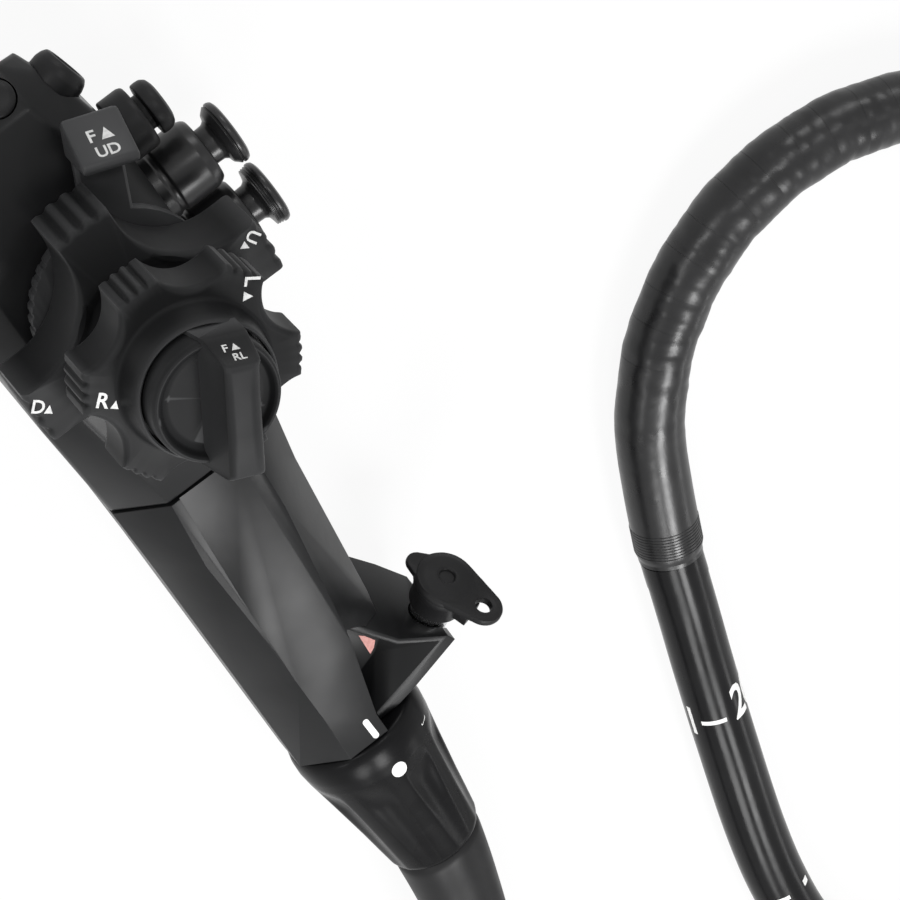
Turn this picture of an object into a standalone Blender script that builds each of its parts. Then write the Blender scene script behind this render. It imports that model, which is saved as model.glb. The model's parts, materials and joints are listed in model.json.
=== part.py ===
"""Flexible endoscope: control section, insertion tube and bending section as separate pieces."""
import math

import bmesh
import bpy
import numpy as np
from mathutils import Matrix, Vector

MM = 0.001
COLLECTION = "flexible_endoscope"
FIT = 0.3
WALL = 2.4
SHIFT = (-1.15, 80.84, 0.0)

# Control section cross-sections along Y: left, right, bottom, top, top chamfer x and z, foot chamfer x and z
HEAD_SECTIONS = (
    (46.0, -16.0, 10.4, 3.0, 27.0, 5.0, 5.0, 4.0, 3.0),
    (38.0, -24.0, 13.5, 0.0, 33.0, 7.0, 6.0, 4.0, 4.0),
    (25.5, -25.5, 16.2, 0.0, 36.0, 7.0, 6.0, 4.0, 4.0),
    (-18.0, -25.5, 17.0, 0.0, 36.0, 7.0, 6.0, 4.0, 4.0),
    (-43.8, -24.0, 12.2, 0.0, 34.5, 9.2, 10.0, 5.0, 5.0),
)
GRIP_SECTIONS = (
    (-44.2, -24.0, 12.2, 0.0, 34.5, 9.2, 10.0, 5.0, 5.0),
    (-60.0, -23.8, 9.8, 0.0, 34.0, 7.6, 11.0, 5.0, 6.0),
    (-95.0, -23.8, 6.5, 0.0, 33.0, 8.9, 11.0, 5.0, 6.0),
    (-117.7, -24.0, 2.2, 4.7, 31.3, 8.4, 8.2, 7.8, 7.8),
)
HEAD_RAKES = (0.58, 0.27)
PANEL_OUTLINE = ((-12.5, -40.0), (8.0, -40.0), (5.0, -112.0), (-16.0, -112.0), (-14.4, -70.2))
PANEL_START = (-12.8, -44.2, 34.0)
PANEL_SLOPE = (0.0333, 0.0279)
HEAD_SPLIT = 9.0
GRIP_SPLIT = 16.0

# Chassis
PLATE_Z = 10.6
PLATE_T = 2.0

# Knob stack on the Z axis at the origin
COLUMN_R = 9.4
COLUMN_TOP = 37.4
UD_SHAFT_R = 7.4
RL_SHAFT_R = 5.0
SPINDLE_R = 2.2
DRUM_R = 10.2
UD_Z = 41.0
UD_T = 14.0
UD_TIP_R = 28.5
UD_SCALLOP = (31.0, 16.9)
UD_LOBES = 4
RL_Z = 63.8
RL_T = 10.4
RL_TIP_R = 21.8
RL_SCALLOP = (23.6, 8.2)
RL_LOBES = 6
LEVER_Z = 37.8
LEVER_T = 2.6
LEVER_R = 17.5
LEVER_ANGLE = 68.0
DIAL_Z = 78.6
DIAL_R = 12.4
DIAL_T = 7.0
FIN_H = 7.0
FIN_ANGLE = 62.0
HUB_R = 10.6
UD_GROOVE = (0.9, 7.2, 27.35, 26.3)
RL_GROOVE = (0.75, 5.7, 21.3, 20.85)

# Valves and switches on the +X side
VALVE_Z = 21.5
SUCTION_Y = 4.2
AIRWATER_Y = -10.9
VALVE_R = 7.1
VALVE_X = (12.5, 28.6)
BORE_R = 4.6
PISTON_R = 4.2
CAP_R = 6.4
CAP_T = 3.2
CAP_GROOVE = 0.5
STROKE = 2.4
SWITCH_Y = 19.8
SWITCH_Z = 25.5

# Channel branch and port
PORT_BASE = (12.8, -111.2, 19.0)
PORT_DIR = (0.50, 0.70, 0.50)
PORT_R = 4.0
PORT_BORE = 1.7
PORT_LEN = 10.0
PORT_LOW = -2.0
SEAT_R = 5.4
LID_R = 6.9

# Stiffness ring and boot about an axis parallel to Y
RING_X = -10.4
RING_Z = 18.0
RING_TOP_Y = -118.0
RING_LEN = 37.0
RING_R = 13.3
RING_FLUTES = 8
SLEEVE_R = 7.6
BOOT_LEN = 52.0

# Insertion tube
TUBE_R = 6.4
TUBE_Z = 6.45
COIL_CENTRE = (20.0, -370.0)
COIL_R = 75.0
COIL_TURNS_Z = 12.95
SKIN_R = 7.1

# Bending section: hinge pitch, link sizes and rest bend
PITCH = 7.1
HINGES = 12
REST_BEND = 14.6
BASE_POINT = (83.0, -100.5)
BASE_HEADING = 52.0
LINK_R = 6.1
LINK_BORE = 5.0
LINK_WALL = (1.9, 5.2)
EAR_R = 1.5
OUTER_EAR = (5.72, 6.22)
INNER_EAR = (4.75, 5.45)
RIVET_R = 0.55
RIVET_HOLE = 0.85
TIP_LEN = 17.0
TIP_R = 6.6

SKIN_Z = 7.75
LEAD_TAIL = ((-28.3, -219.0, 18.2), (-36.0, -239.0, 18.6), (-43.2, -261.0, 19.0), (-49.2, -286.0, 19.3),
             (-53.0, -308.0, 19.4), (-54.2, -323.9, 19.4))
REACH_PATH = ((67.1, -296.1, TUBE_Z), (60.5, -287.0, TUBE_Z), (52.0, -274.0, TUBE_Z), (45.6, -260.0, TUBE_Z),
              (43.0, -246.0, TUBE_Z), (43.4, -231.4, TUBE_Z), (45.6, -216.0, TUBE_Z), (50.6, -192.7, TUBE_Z),
              (54.8, -174.0, 6.9), (58.9, -156.4, SKIN_Z), (60.6, -149.4, SKIN_Z))
SKIN_PATH = ((62.0, -143.6, SKIN_Z), (64.3, -136.5, SKIN_Z), (67.0, -128.6, SKIN_Z), (70.6, -119.0, SKIN_Z),
             (73.4, -113.4, SKIN_Z), (76.3, -109.1, SKIN_Z))

MATERIALS = {
    "shell": ((0.035, 0.036, 0.038), 0.0, 0.42),
    "black": ((0.012, 0.012, 0.013), 0.0, 0.35),
    "rubber": ((0.015, 0.015, 0.016), 0.0, 0.6),
    "gloss": ((0.008, 0.008, 0.009), 0.0, 0.15),
    "steel": ((0.55, 0.56, 0.58), 1.0, 0.25),
    "brass": ((0.6, 0.45, 0.2), 1.0, 0.3),
    "glass": ((0.8, 0.85, 0.9), 0.0, 0.05),
    "white": ((0.85, 0.85, 0.83), 0.0, 0.5),
}


def clear_scene():
    """Remove every object of the starting scene."""
    for obj in list(bpy.data.objects):
        bpy.data.objects.remove(obj, do_unlink=True)


def make_collections():
    """Make the collection for the pieces and the one for the cutters."""
    parts = bpy.data.collections.new(COLLECTION)
    cutters = bpy.data.collections.new("cutters")
    bpy.context.scene.collection.children.link(parts)
    bpy.context.scene.collection.children.link(cutters)
    return parts, cutters


clear_scene()
PARTS, CUTTERS = make_collections()


def finish_material(obj, kind):
    """Give the piece its own Principled material."""
    colour, metallic, rough = MATERIALS[kind]
    mat = bpy.data.materials.new(obj.name)
    mat.use_nodes = True
    shader = mat.node_tree.nodes["Principled BSDF"]
    shader.inputs["Base Color"].default_value = (*colour, 1.0)
    shader.inputs["Metallic"].default_value = metallic
    shader.inputs["Roughness"].default_value = rough
    mat.diffuse_color = (*colour, 1.0)
    obj.data.materials.clear()
    obj.data.materials.append(mat)


def from_bmesh(name, bm):
    """Turn a bmesh in millimetres into a metre-scaled object."""
    bmesh.ops.scale(bm, vec=(MM, MM, MM), verts=bm.verts)
    bmesh.ops.recalc_face_normals(bm, faces=bm.faces)
    mesh = bpy.data.meshes.new(name)
    bm.to_mesh(mesh)
    bm.free()
    obj = bpy.data.objects.new(name, mesh)
    bpy.context.scene.collection.objects.link(obj)
    return obj


def prism(name, points, low, high, top_scale=1.0):
    """Extrude a closed XY outline from low to high, optionally tapering it."""
    bm = bmesh.new()
    base = [bm.verts.new((x, y, low)) for x, y in points]
    face = bm.faces.new(base)
    new = bmesh.ops.extrude_face_region(bm, geom=[face])["geom"]
    verts = [v for v in new if isinstance(v, bmesh.types.BMVert)]
    for vert in verts:
        vert.co.z = high
        vert.co.x *= top_scale
        vert.co.y *= top_scale
    return from_bmesh(name, bm)


def stack(name, layers):
    """Skin closed XY outlines, given as (z, points) from bottom to top with equal point counts."""
    bm = bmesh.new()
    rings = [[bm.verts.new((x, y, z)) for x, y in points] for z, points in layers]
    for first, second in zip(rings, rings[1:]):
        for i in range(len(first)):
            j = (i + 1) % len(first)
            bm.faces.new((first[i], first[j], second[j], second[i]))
    bm.faces.new(rings[0])
    bm.faces.new(rings[-1])
    bmesh.ops.triangulate(bm, faces=bm.faces)
    return from_bmesh(name, bm)


def grown(points, amount):
    """Move every side of a clockwise outline outward by the amount."""
    pts = [Vector(p) for p in points]
    made = []
    for before, here, after in zip(pts[-1:] + pts[:-1], pts, pts[1:] + pts[:1]):
        a = (here - before).normalized()
        b = (after - here).normalized()
        na, nb = Vector((-a.y, a.x)), Vector((-b.y, b.x))
        made.append(tuple(here + (na + nb) * (amount / (1 + na.dot(nb)))))
    return made


def box(name, low, high):
    """Make a box between two corners."""
    points = ((low[0], low[1]), (high[0], low[1]), (high[0], high[1]), (low[0], high[1]))
    return prism(name, points, low[2], high[2])


def axis_matrix(origin, direction, up=(0.0, 0.0, 1.0)):
    """Matrix that takes local +Z to the direction, at the origin point."""
    z = Vector(direction).normalized()
    hint = Vector(up)
    if abs(z.dot(hint)) > 0.99:
        hint = Vector((0.0, 1.0, 0.0))
    x = hint.cross(z).normalized()
    y = z.cross(x)
    rot = Matrix((x, y, z)).transposed().to_4x4()
    return Matrix.Translation(Vector(origin) * MM) @ rot


def turned(name, profile, steps=32, origin=(0, 0, 0), direction=(0, 0, 1)):
    """Turn a profile of (radius, height) pairs with the Screw modifier."""
    bm = bmesh.new()
    verts = [bm.verts.new((r, 0.0, h)) for r, h in profile]
    for first, second in zip(verts, verts[1:]):
        bm.edges.new((first, second))
    if profile[0][0] > 0 and profile[-1][0] > 0:
        bm.edges.new((verts[-1], verts[0]))
    bmesh.ops.scale(bm, vec=(MM, MM, MM), verts=bm.verts)
    mesh = bpy.data.meshes.new(name)
    bm.to_mesh(mesh)
    bm.free()
    obj = bpy.data.objects.new(name, mesh)
    bpy.context.scene.collection.objects.link(obj)
    screw = obj.modifiers.new("turn", "SCREW")
    screw.steps = steps
    screw.render_steps = steps
    screw.use_merge_vertices = True
    screw.merge_threshold = 0.00001
    screw.use_normal_calculate = True
    bake(obj)
    obj.data.transform(axis_matrix(origin, direction))
    return obj


def rod(name, radius, low, high, steps=24, origin=(0, 0, 0), direction=(0, 0, 1)):
    """Make a plain cylinder along the direction from low to high."""
    profile = ((0, high), (radius, high), (radius, low), (0, low))
    return turned(name, profile, steps, origin, direction)


def pipe(name, outer, inner, low, high, steps=24, origin=(0, 0, 0), direction=(0, 0, 1)):
    """Make a plain tube along the direction from low to high."""
    profile = ((outer, high), (outer, low), (inner, low), (inner, high))
    return turned(name, profile, steps, origin, direction)


def bake(obj):
    """Replace the object's mesh by its evaluated mesh."""
    depsgraph = bpy.context.evaluated_depsgraph_get()
    mesh = bpy.data.meshes.new_from_object(obj.evaluated_get(depsgraph))
    obj.modifiers.clear()
    old = obj.data
    obj.data = mesh
    if old.users == 0:
        bpy.data.meshes.remove(old)
    clean(obj)
    return obj


def clean(obj):
    """Merge doubled points and make the normals face outward."""
    bm = bmesh.new()
    bm.from_mesh(obj.data)
    bmesh.ops.remove_doubles(bm, verts=bm.verts, dist=0.000004)
    bmesh.ops.dissolve_degenerate(bm, edges=bm.edges, dist=0.000002)
    bmesh.ops.recalc_face_normals(bm, faces=bm.faces)
    bm.to_mesh(obj.data)
    bm.free()


def boolean(obj, other, operation):
    """Cut or join with an exact Boolean and keep the cutter in its own collection."""
    mod = obj.modifiers.new("cut", "BOOLEAN")
    mod.operation = operation
    mod.solver = "EXACT"
    mod.object = other
    bake(obj)
    bpy.context.scene.collection.objects.unlink(other)
    CUTTERS.objects.link(other)
    other.hide_render = True
    other.display_type = "WIRE"
    return obj


def cut(obj, *others):
    """Cut each of the others out of the object."""
    for other in others:
        boolean(obj, other, "DIFFERENCE")
    return obj


def join(obj, *others):
    """Unite the object with each of the others."""
    for other in others:
        boolean(obj, other, "UNION")
    return obj


def bevel(obj, width, segments=2, angle=35.0):
    """Round the sharp edges with the Bevel modifier."""
    mod = obj.modifiers.new("round", "BEVEL")
    mod.width = width * MM
    mod.segments = segments
    mod.limit_method = "ANGLE"
    mod.angle_limit = math.radians(angle)
    mod.use_clamp_overlap = True
    return bake(obj)


def place(obj, kind, pivot=None):
    """File the piece, put its origin on the pivot and give it a material."""
    bpy.context.scene.collection.objects.unlink(obj)
    PARTS.objects.link(obj)
    obj.data.transform(Matrix.Translation(Vector(SHIFT) * MM))
    if pivot is not None:
        point = (Vector(pivot) + Vector(SHIFT)) * MM
        obj.data.transform(Matrix.Translation(-point))
        obj.location = point
    finish_material(obj, kind)
    return obj


def octagon(section, grow=0.0):
    """Return the eight cross-section points of the body at one station."""
    _, left, right, low, high, cx, cz, fx, fz = section
    left, right, low, high = left - grow, right + grow, low - grow, high + grow
    return ((left + fx, low), (left, low + fz), (left, high - cz), (left + cx, high),
            (right - cx, high), (right, high - cz), (right, low + fz), (right - fx, low))


def loft(name, sections, grow=0.0, ends=(0.0, 0.0), rakes=()):
    """Skin the body cross-sections, moving the end stations and leaning the first ones back at the foot."""
    bm = bmesh.new()
    rings = []
    for index, section in enumerate(sections):
        y = section[0]
        if index == 0:
            y += ends[0]
        if index == len(sections) - 1:
            y -= ends[1]
        rake = rakes[index] if index < len(rakes) else 0.0
        rings.append([bm.verts.new((x, y - rake * (section[4] - z), z)) for x, z in octagon(section, grow)])
    for first, second in zip(rings, rings[1:]):
        for i in range(8):
            j = (i + 1) % 8
            bm.faces.new((first[i], first[j], second[j], second[i]))
    bm.faces.new(rings[0])
    bm.faces.new(rings[-1])
    if rakes:
        bmesh.ops.triangulate(bm, faces=bm.faces)
    return from_bmesh(name, bm)


def lobed_outline(tip, scallop, lobes, phase, count):
    """Outline of a hand knob: a circle with one round scallop between each pair of lobes."""
    centre, radius = scallop
    raw = []
    for i in range(count):
        angle = 2 * math.pi * i / count
        step = 2 * math.pi / lobes
        off = (angle - math.radians(phase) + step / 2) % step - step / 2
        r = tip
        inside = radius ** 2 - (centre * math.sin(off)) ** 2
        if inside > 0:
            r = min(tip, centre * math.cos(off) - math.sqrt(inside))
        raw.append(r)
    raw = np.array(raw)
    for _ in range(2):
        raw = 0.25 * np.roll(raw, 1) + 0.5 * raw + 0.25 * np.roll(raw, -1)
    return [(r * math.cos(2 * math.pi * i / count), r * math.sin(2 * math.pi * i / count))
            for i, r in enumerate(raw)]


def smooth_path(points, step):
    """Read a list of points through a smooth curve at an even spacing."""
    pts = np.array(points, float)
    ends = np.vstack([2 * pts[0] - pts[1], pts, 2 * pts[-1] - pts[-2]])
    fine = []
    for i in range(1, len(ends) - 2):
        p0, p1, p2, p3 = ends[i - 1:i + 3]
        for t in np.linspace(0, 1, 20, endpoint=False):
            fine.append(0.5 * (2 * p1 + (p2 - p0) * t + (2 * p0 - 5 * p1 + 4 * p2 - p3) * t ** 2
                               + (3 * p1 - p0 - 3 * p2 + p3) * t ** 3))
    fine.append(pts[-1])
    fine = np.array(fine)
    dist = np.concatenate([[0], np.cumsum(np.linalg.norm(np.diff(fine, axis=0), axis=1))])
    count = max(3, int(round(dist[-1] / step)) + 1)
    even = np.linspace(0, dist[-1], count)
    return [tuple(np.interp(v, dist, fine[:, k]) for k in range(3)) for v in even]


def swept(name, points, radius, step=None, resolution=3):
    """Sweep a round section along a smooth path, with closed ends."""
    curve = bpy.data.curves.new(name, "CURVE")
    curve.dimensions = "3D"
    path = smooth_path(points, step or 2.5 * radius * 2)
    spline = curve.splines.new("POLY")
    spline.points.add(len(path) - 1)
    for point, (x, y, z) in zip(spline.points, path):
        point.co = (x * MM, y * MM, z * MM, 1.0)
    curve.bevel_depth = radius * MM
    curve.bevel_resolution = resolution
    curve.use_fill_caps = True
    obj = bpy.data.objects.new(name, curve)
    bpy.context.scene.collection.objects.link(obj)
    depsgraph = bpy.context.evaluated_depsgraph_get()
    mesh = bpy.data.meshes.new_from_object(obj.evaluated_get(depsgraph))
    bpy.data.objects.remove(obj, do_unlink=True)
    made = bpy.data.objects.new(name, mesh)
    bpy.context.scene.collection.objects.link(made)
    clean(made)
    return made


def helix(name, radius, wire, turns, length, origin, direction):
    """Sweep a compression spring."""
    count = turns * 6
    points = []
    for i in range(count + 1):
        angle = 2 * math.pi * i / 6
        points.append((radius * math.cos(angle), radius * math.sin(angle), wire + (length - 2 * wire) * i / count))
    obj = swept(name, points, wire, step=2 * math.pi * radius / 6, resolution=0)
    obj.data.transform(axis_matrix(origin, direction))
    return obj


def make_head():
    """Control housing and its back cover, with seats for the column, valves, switches and gland."""
    far = 120.0
    for name, low, high in (("control_housing", HEAD_SPLIT + FIT / 2, 60.0), ("back_cover", -5.0, HEAD_SPLIT - FIT / 2)):
        shell = loft(name, HEAD_SECTIONS, rakes=HEAD_RAKES)
        bevel(shell, 1.0, 2, 14.0)
        cut(shell, loft("head_space", HEAD_SECTIONS, -WALL, (-WALL, 5.0), HEAD_RAKES))
        if name == "control_housing":
            cut(shell, box("head_cut", (-far, -far, -far), (far, far, low)))
            cut(shell, rod("column_hole", COLUMN_R + FIT, 20.0, 60.0, 28))
            for y in (SUCTION_Y, AIRWATER_Y):
                cut(shell, rod("valve_hole", VALVE_R + FIT, 5.0, 60.0, 28, (0, y, VALVE_Z), (1, 0, 0)))
            cut(shell, rod("switch_hole", 4.3, 8.0, 60.0, 24, (0, SWITCH_Y, SWITCH_Z), (1, 0, 0)))
            for origin, direction, radius in SIDE_SWITCHES:
                cut(shell, rod("switch_hole", radius + FIT, -6.0, 12.0, 24, origin, direction))
            cut(shell, rod("gland_hole", GLAND_R + FIT, -4.0, 60.0, 28, GLAND_POINT, (-1, 0, 0)))
        else:
            cut(shell, box("head_cut", (-far, -far, high), (far, far, far)))
        place(shell, "shell")


def panel_cutter():
    """Cutter for the shallow panel on the grip's top face, deepest along its left line."""
    panel = prism("grip_panel", PANEL_OUTLINE, PANEL_START[2], 60.0)
    for vert in panel.data.vertices:
        x, y, z = vert.co / MM
        rise = PANEL_SLOPE[0] * (x - PANEL_START[0]) + PANEL_SLOPE[1] * (y - PANEL_START[1])
        vert.co.z += rise * MM
    return panel


def make_grip():
    """Two grip shells with a shallow panel on the front one."""
    far = 200.0
    front = loft("grip_front_shell", GRIP_SECTIONS)
    cut(front, loft("grip_space", GRIP_SECTIONS, -WALL, (5.0, 5.0)))
    cut(front, box("grip_cut", (-far, -far, -far), (far, far, GRIP_SPLIT + FIT / 2)))
    cut(front, branch_window())
    bevel(front, 0.7, 1, 20.0)
    cut(front, panel_cutter())
    place(front, "shell")
    back = loft("grip_back_shell", GRIP_SECTIONS)
    cut(back, branch_window())
    cut(back, loft("grip_space", GRIP_SECTIONS, -WALL, (5.0, 5.0)))
    cut(back, box("grip_cut", (-far, -far, GRIP_SPLIT - FIT / 2), (far, far, far)))
    bevel(back, 0.6, 1, 40.0)
    place(back, "shell")


def make_chassis():
    """Frame plate that carries the column, the valve cylinders and the sleeve."""
    outline = ((-17.0, 24.0), (8.0, 24.0), (8.0, 12.8), (11.9, 12.8), (11.9, -19.0), (5.0, -24.0), (4.0, -60.0),
               (-3.0, -88.0), (-6.0, -97.0), (-16.4, -97.0), (-18.0, -90.0), (-19.0, -20.0))
    plate = prism("chassis_plate", outline, PLATE_Z, PLATE_Z + PLATE_T)
    cut(plate, rod("shaft_hole", UD_SHAFT_R + FIT, 5.0, 20.0, 32))
    for y in (-50.0, -68.0, -86.0):
        cut(plate, rod("lightening", 3.2, 5.0, 20.0, 20, (-8.5, y, 0)))
    place(plate, "steel")
    top = PLATE_Z + PLATE_T + 0.02
    column = turned("knob_column", ((COLUMN_R, COLUMN_TOP), (COLUMN_R, top + 2), (COLUMN_R + 2.2, top + 2),
                                    (COLUMN_R + 2.2, top), (UD_SHAFT_R + FIT, top), (UD_SHAFT_R + FIT, COLUMN_TOP)), 28)
    place(column, "black")


def make_valve(name, y):
    """Valve cylinder, sprung piston, return spring and button."""
    origin = (0, y, VALVE_Z)
    low, high = VALVE_X
    cylinder = turned(name + "_cylinder", ((VALVE_R - 1.0, high), (VALVE_R, high - 1.0), (VALVE_R, low + 6.0),
                                           (VALVE_R, low), (BORE_R, low), (BORE_R, high)), 28, origin, (1, 0, 0))
    place(cylinder, "black")
    cap = high + STROKE + 0.6
    button = turned(name + "_button", ((0, cap + CAP_T), (CAP_R - 0.8, cap + CAP_T), (CAP_R, cap + CAP_T - 0.8),
                                       (CAP_R, cap + 2.0), (CAP_R - CAP_GROOVE, cap + 1.6), (CAP_R, cap + 1.2),
                                       (CAP_R, cap + 0.6), (CAP_R - 0.5, cap), (PISTON_R - 0.6, cap),
                                       (PISTON_R - 0.6, high - 1.0), (0, high - 1.0)), 28, origin, (1, 0, 0))
    place(button, "black", (cap, y, VALVE_Z))
    piston = turned(name + "_piston", ((0, high - 1.3), (PISTON_R, high - 1.3), (PISTON_R, high - 4.0),
                                       (2.4, high - 4.0), (2.4, low + 5.0), (0, low + 5.0)), 32, origin, (1, 0, 0))
    place(piston, "steel", (cap, y, VALVE_Z))
    spring = helix(name + "_spring", 3.4, 0.35, 5, high - 4.3 - (low + 0.3), (low + 0.3, y, VALVE_Z), (1, 0, 0))
    place(spring, "steel")


def tip_grooves(groove, lobes, phase, low, high):
    """Cutters for the three finger grooves across the tip of every lobe."""
    radius, spread, middle_reach, side_reach = groove
    cutters = []
    for lobe in range(lobes):
        for side in (-1, 0, 1):
            angle = math.radians(phase + 360.0 * lobe / lobes + side * spread)
            reach = side_reach if side else middle_reach
            spot = (math.cos(angle) * reach, math.sin(angle) * reach, 0)
            cutters.append(rod("tip_groove", radius, low - 2.0, high + 2.0, 8, spot))
    return cutters


def make_knobs():
    """Two lobed hand knobs with their shafts and drums."""
    ud = prism("ud_knob", lobed_outline(UD_TIP_R, UD_SCALLOP, UD_LOBES, 45.0, 52), UD_Z, UD_Z + UD_T)
    bevel(ud, 1.3, 1, 40.0)
    dish = turned("ud_dish", ((0, 80), (14.0, 80), (12.0, UD_Z + UD_T - 1.6), (0, UD_Z + UD_T - 1.6)), 32)
    cut(ud, dish, rod("ud_bore", UD_SHAFT_R + 0.1, 0.0, 90.0, 32))
    cut(ud, turned("ud_under", ((0, UD_Z + 4.0), (13.0, UD_Z + 4.0), (13.0, UD_Z - 5), (0, UD_Z - 5)), 40))
    cut(ud, *tip_grooves(UD_GROOVE, UD_LOBES, 0.0, UD_Z, UD_Z + UD_T))
    place(ud, "black", (0, 0, 0))
    drum_top = PLATE_Z - 0.4
    place(pipe("ud_shaft", UD_SHAFT_R, RL_SHAFT_R + FIT, drum_top - 3.0, UD_Z + UD_T - 1.8, 32), "steel", (0, 0, 0))
    place(pipe("ud_drum", DRUM_R, UD_SHAFT_R + 0.1, drum_top - 3.0, drum_top, 28), "brass", (0, 0, 0))
    rl = prism("rl_knob", lobed_outline(RL_TIP_R, RL_SCALLOP, RL_LOBES, 60.0, 60), RL_Z, RL_Z + RL_T)
    bevel(rl, 1.2, 1, 40.0)
    join(rl, rod("rl_hub", HUB_R, UD_Z + UD_T + 0.5, DIAL_Z - 0.4, 32))
    cut(rl, rod("rl_bore", RL_SHAFT_R + 0.1, 0.0, 90.0, 32))
    cut(rl, *tip_grooves(RL_GROOVE, RL_LOBES, 30.0, RL_Z, RL_Z + RL_T))
    place(rl, "black", (0, 0, 0))
    place(pipe("rl_shaft", RL_SHAFT_R, SPINDLE_R + FIT, 2.9, DIAL_Z - 1.0, 32), "steel", (0, 0, 0))
    place(pipe("rl_drum", DRUM_R, RL_SHAFT_R + 0.1, 2.9, 6.4, 28), "brass", (0, 0, 0))


def make_brakes():
    """Up-down brake lever and right-left brake dial with its spindle."""
    low, high = LEVER_Z, LEVER_Z + LEVER_T
    lever = pipe("ud_brake_lever", LEVER_R, COLUMN_R - 1.2, low, high, 40)
    turn = Matrix.Rotation(math.radians(LEVER_ANGLE), 4, "Z")
    arm = box("lever_arm", (LEVER_R - 3.0, -4.6, low), (31.0, 4.6, high))
    arm.data.transform(turn)
    tab = prism("lever_tab", ((29.0, low), (35.6, low), (36.6, low + 1.2), (30.9, low + 10.4), (29.0, low + 10.4)), -5.4, 5.4)
    tab.data.transform(Matrix.Rotation(math.radians(90), 4, "X"))
    tab.data.transform(turn)
    bevel(arm, 0.7, 1, 40.0)
    bevel(tab, 1.0, 2, 40.0)
    join(lever, arm, tab)
    teeth = []
    for i in range(6):
        angle = math.radians(118 + 8 * i)
        spot = (math.cos(angle) * (LEVER_R + 0.5), math.sin(angle) * (LEVER_R + 0.5), 0)
        teeth.append(rod("lever_groove", 0.9, low - 1, high + 1, 8, spot))
    cut(lever, *teeth)
    place(lever, "black", (0, 0, 0))
    dial = turned("rl_brake_dial", ((0, DIAL_Z + DIAL_T - 1.4), (DIAL_R - 2.6, DIAL_Z + DIAL_T - 1.4), (DIAL_R - 1.8, DIAL_Z + DIAL_T),
                                    (DIAL_R - 0.9, DIAL_Z + DIAL_T), (DIAL_R, DIAL_Z + DIAL_T - 0.9),
                                    (DIAL_R, DIAL_Z + 1.0), (DIAL_R - 1.0, DIAL_Z), (0, DIAL_Z)), 40)
    top = DIAL_Z + DIAL_T + FIN_H
    side = ((-10.6, DIAL_Z + 2.0), (11.0, DIAL_Z + 2.0), (11.6, DIAL_Z + 7.4), (6.0, top), (-11.6, top),
            (-12.6, top - 1.2), (-12.2, DIAL_Z + 6.4))
    fin = prism("dial_fin", side, -2.9, 2.9)
    fin.data.transform(Matrix.Rotation(math.radians(90), 4, "X"))
    fin.data.transform(Matrix.Rotation(math.radians(FIN_ANGLE), 4, "Z"))
    bevel(fin, 1.3, 2, 30.0)
    join(dial, fin)
    cut(dial, rod("spindle_seat", SPINDLE_R + 0.1, DIAL_Z - 5.0, DIAL_Z + 4.0, 24))
    place(dial, "black", (0, 0, 0))
    place(rod("brake_spindle", SPINDLE_R, 4.0, DIAL_Z + 3.7, 24), "steel", (0, 0, 0))


def make_switches():
    """Sprung remote switches on the head."""
    origin = (0, SWITCH_Y, SWITCH_Z)
    base = turned("switch_bezel", ((5.6, 22.3), (6.3, 21.6), (6.3, 16.9), (3.9, 16.9), (3.9, 22.3)), 32, origin, (1, 0, 0))
    place(base, "shell")
    tall = turned("remote_switch_1", ((0, 27.0), (4.1, 27.0), (4.9, 26.2), (4.9, 23.6), (3.5, 23.6), (3.5, 15.4), (0, 15.4)),
                  32, origin, (1, 0, 0))
    place(tall, "rubber", (23.6, SWITCH_Y, SWITCH_Z))
    for index, (spot, direction, radius) in enumerate(SIDE_SWITCHES):
        rise = 2.8 if index == 0 else 0.9
        profile = ((0, rise), (radius * 0.55, rise * 0.9), (radius * 0.85, rise * 0.62), (radius, rise * 0.1),
                   (radius, -2.6), (0, -2.6))
        switch = turned("remote_switch_%d" % (index + 2), profile, 32, spot, direction)
        place(switch, "rubber", spot)


def make_gland():
    """Gland where the light-guide cord enters, open through its middle."""
    point = Vector(GLAND_POINT)
    gland = turned("cord_gland", ((GLAND_R - 1.0, 12.0), (GLAND_R, 11.0), (GLAND_R, 4.5), (GLAND_R, 0.0), (5.2, 0.0),
                                  (5.2, 12.0)), 28, point, (-1, 0, 0))
    place(gland, "black")


def branch_window():
    """Cutter for the opening in the grip that the branch fills, open above the branch."""
    foot, rim = [[(x, y - 5.0) if y < -116.0 else (x, y) for x, y in grown(points, FIT)]
                 for points in (BRANCH_FOOT, BRANCH_RIM)]
    return stack("branch_window", ((BRANCH_Z[0] - FIT, foot), (BRANCH_Z[1], rim), (60.0, rim)))


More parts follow.
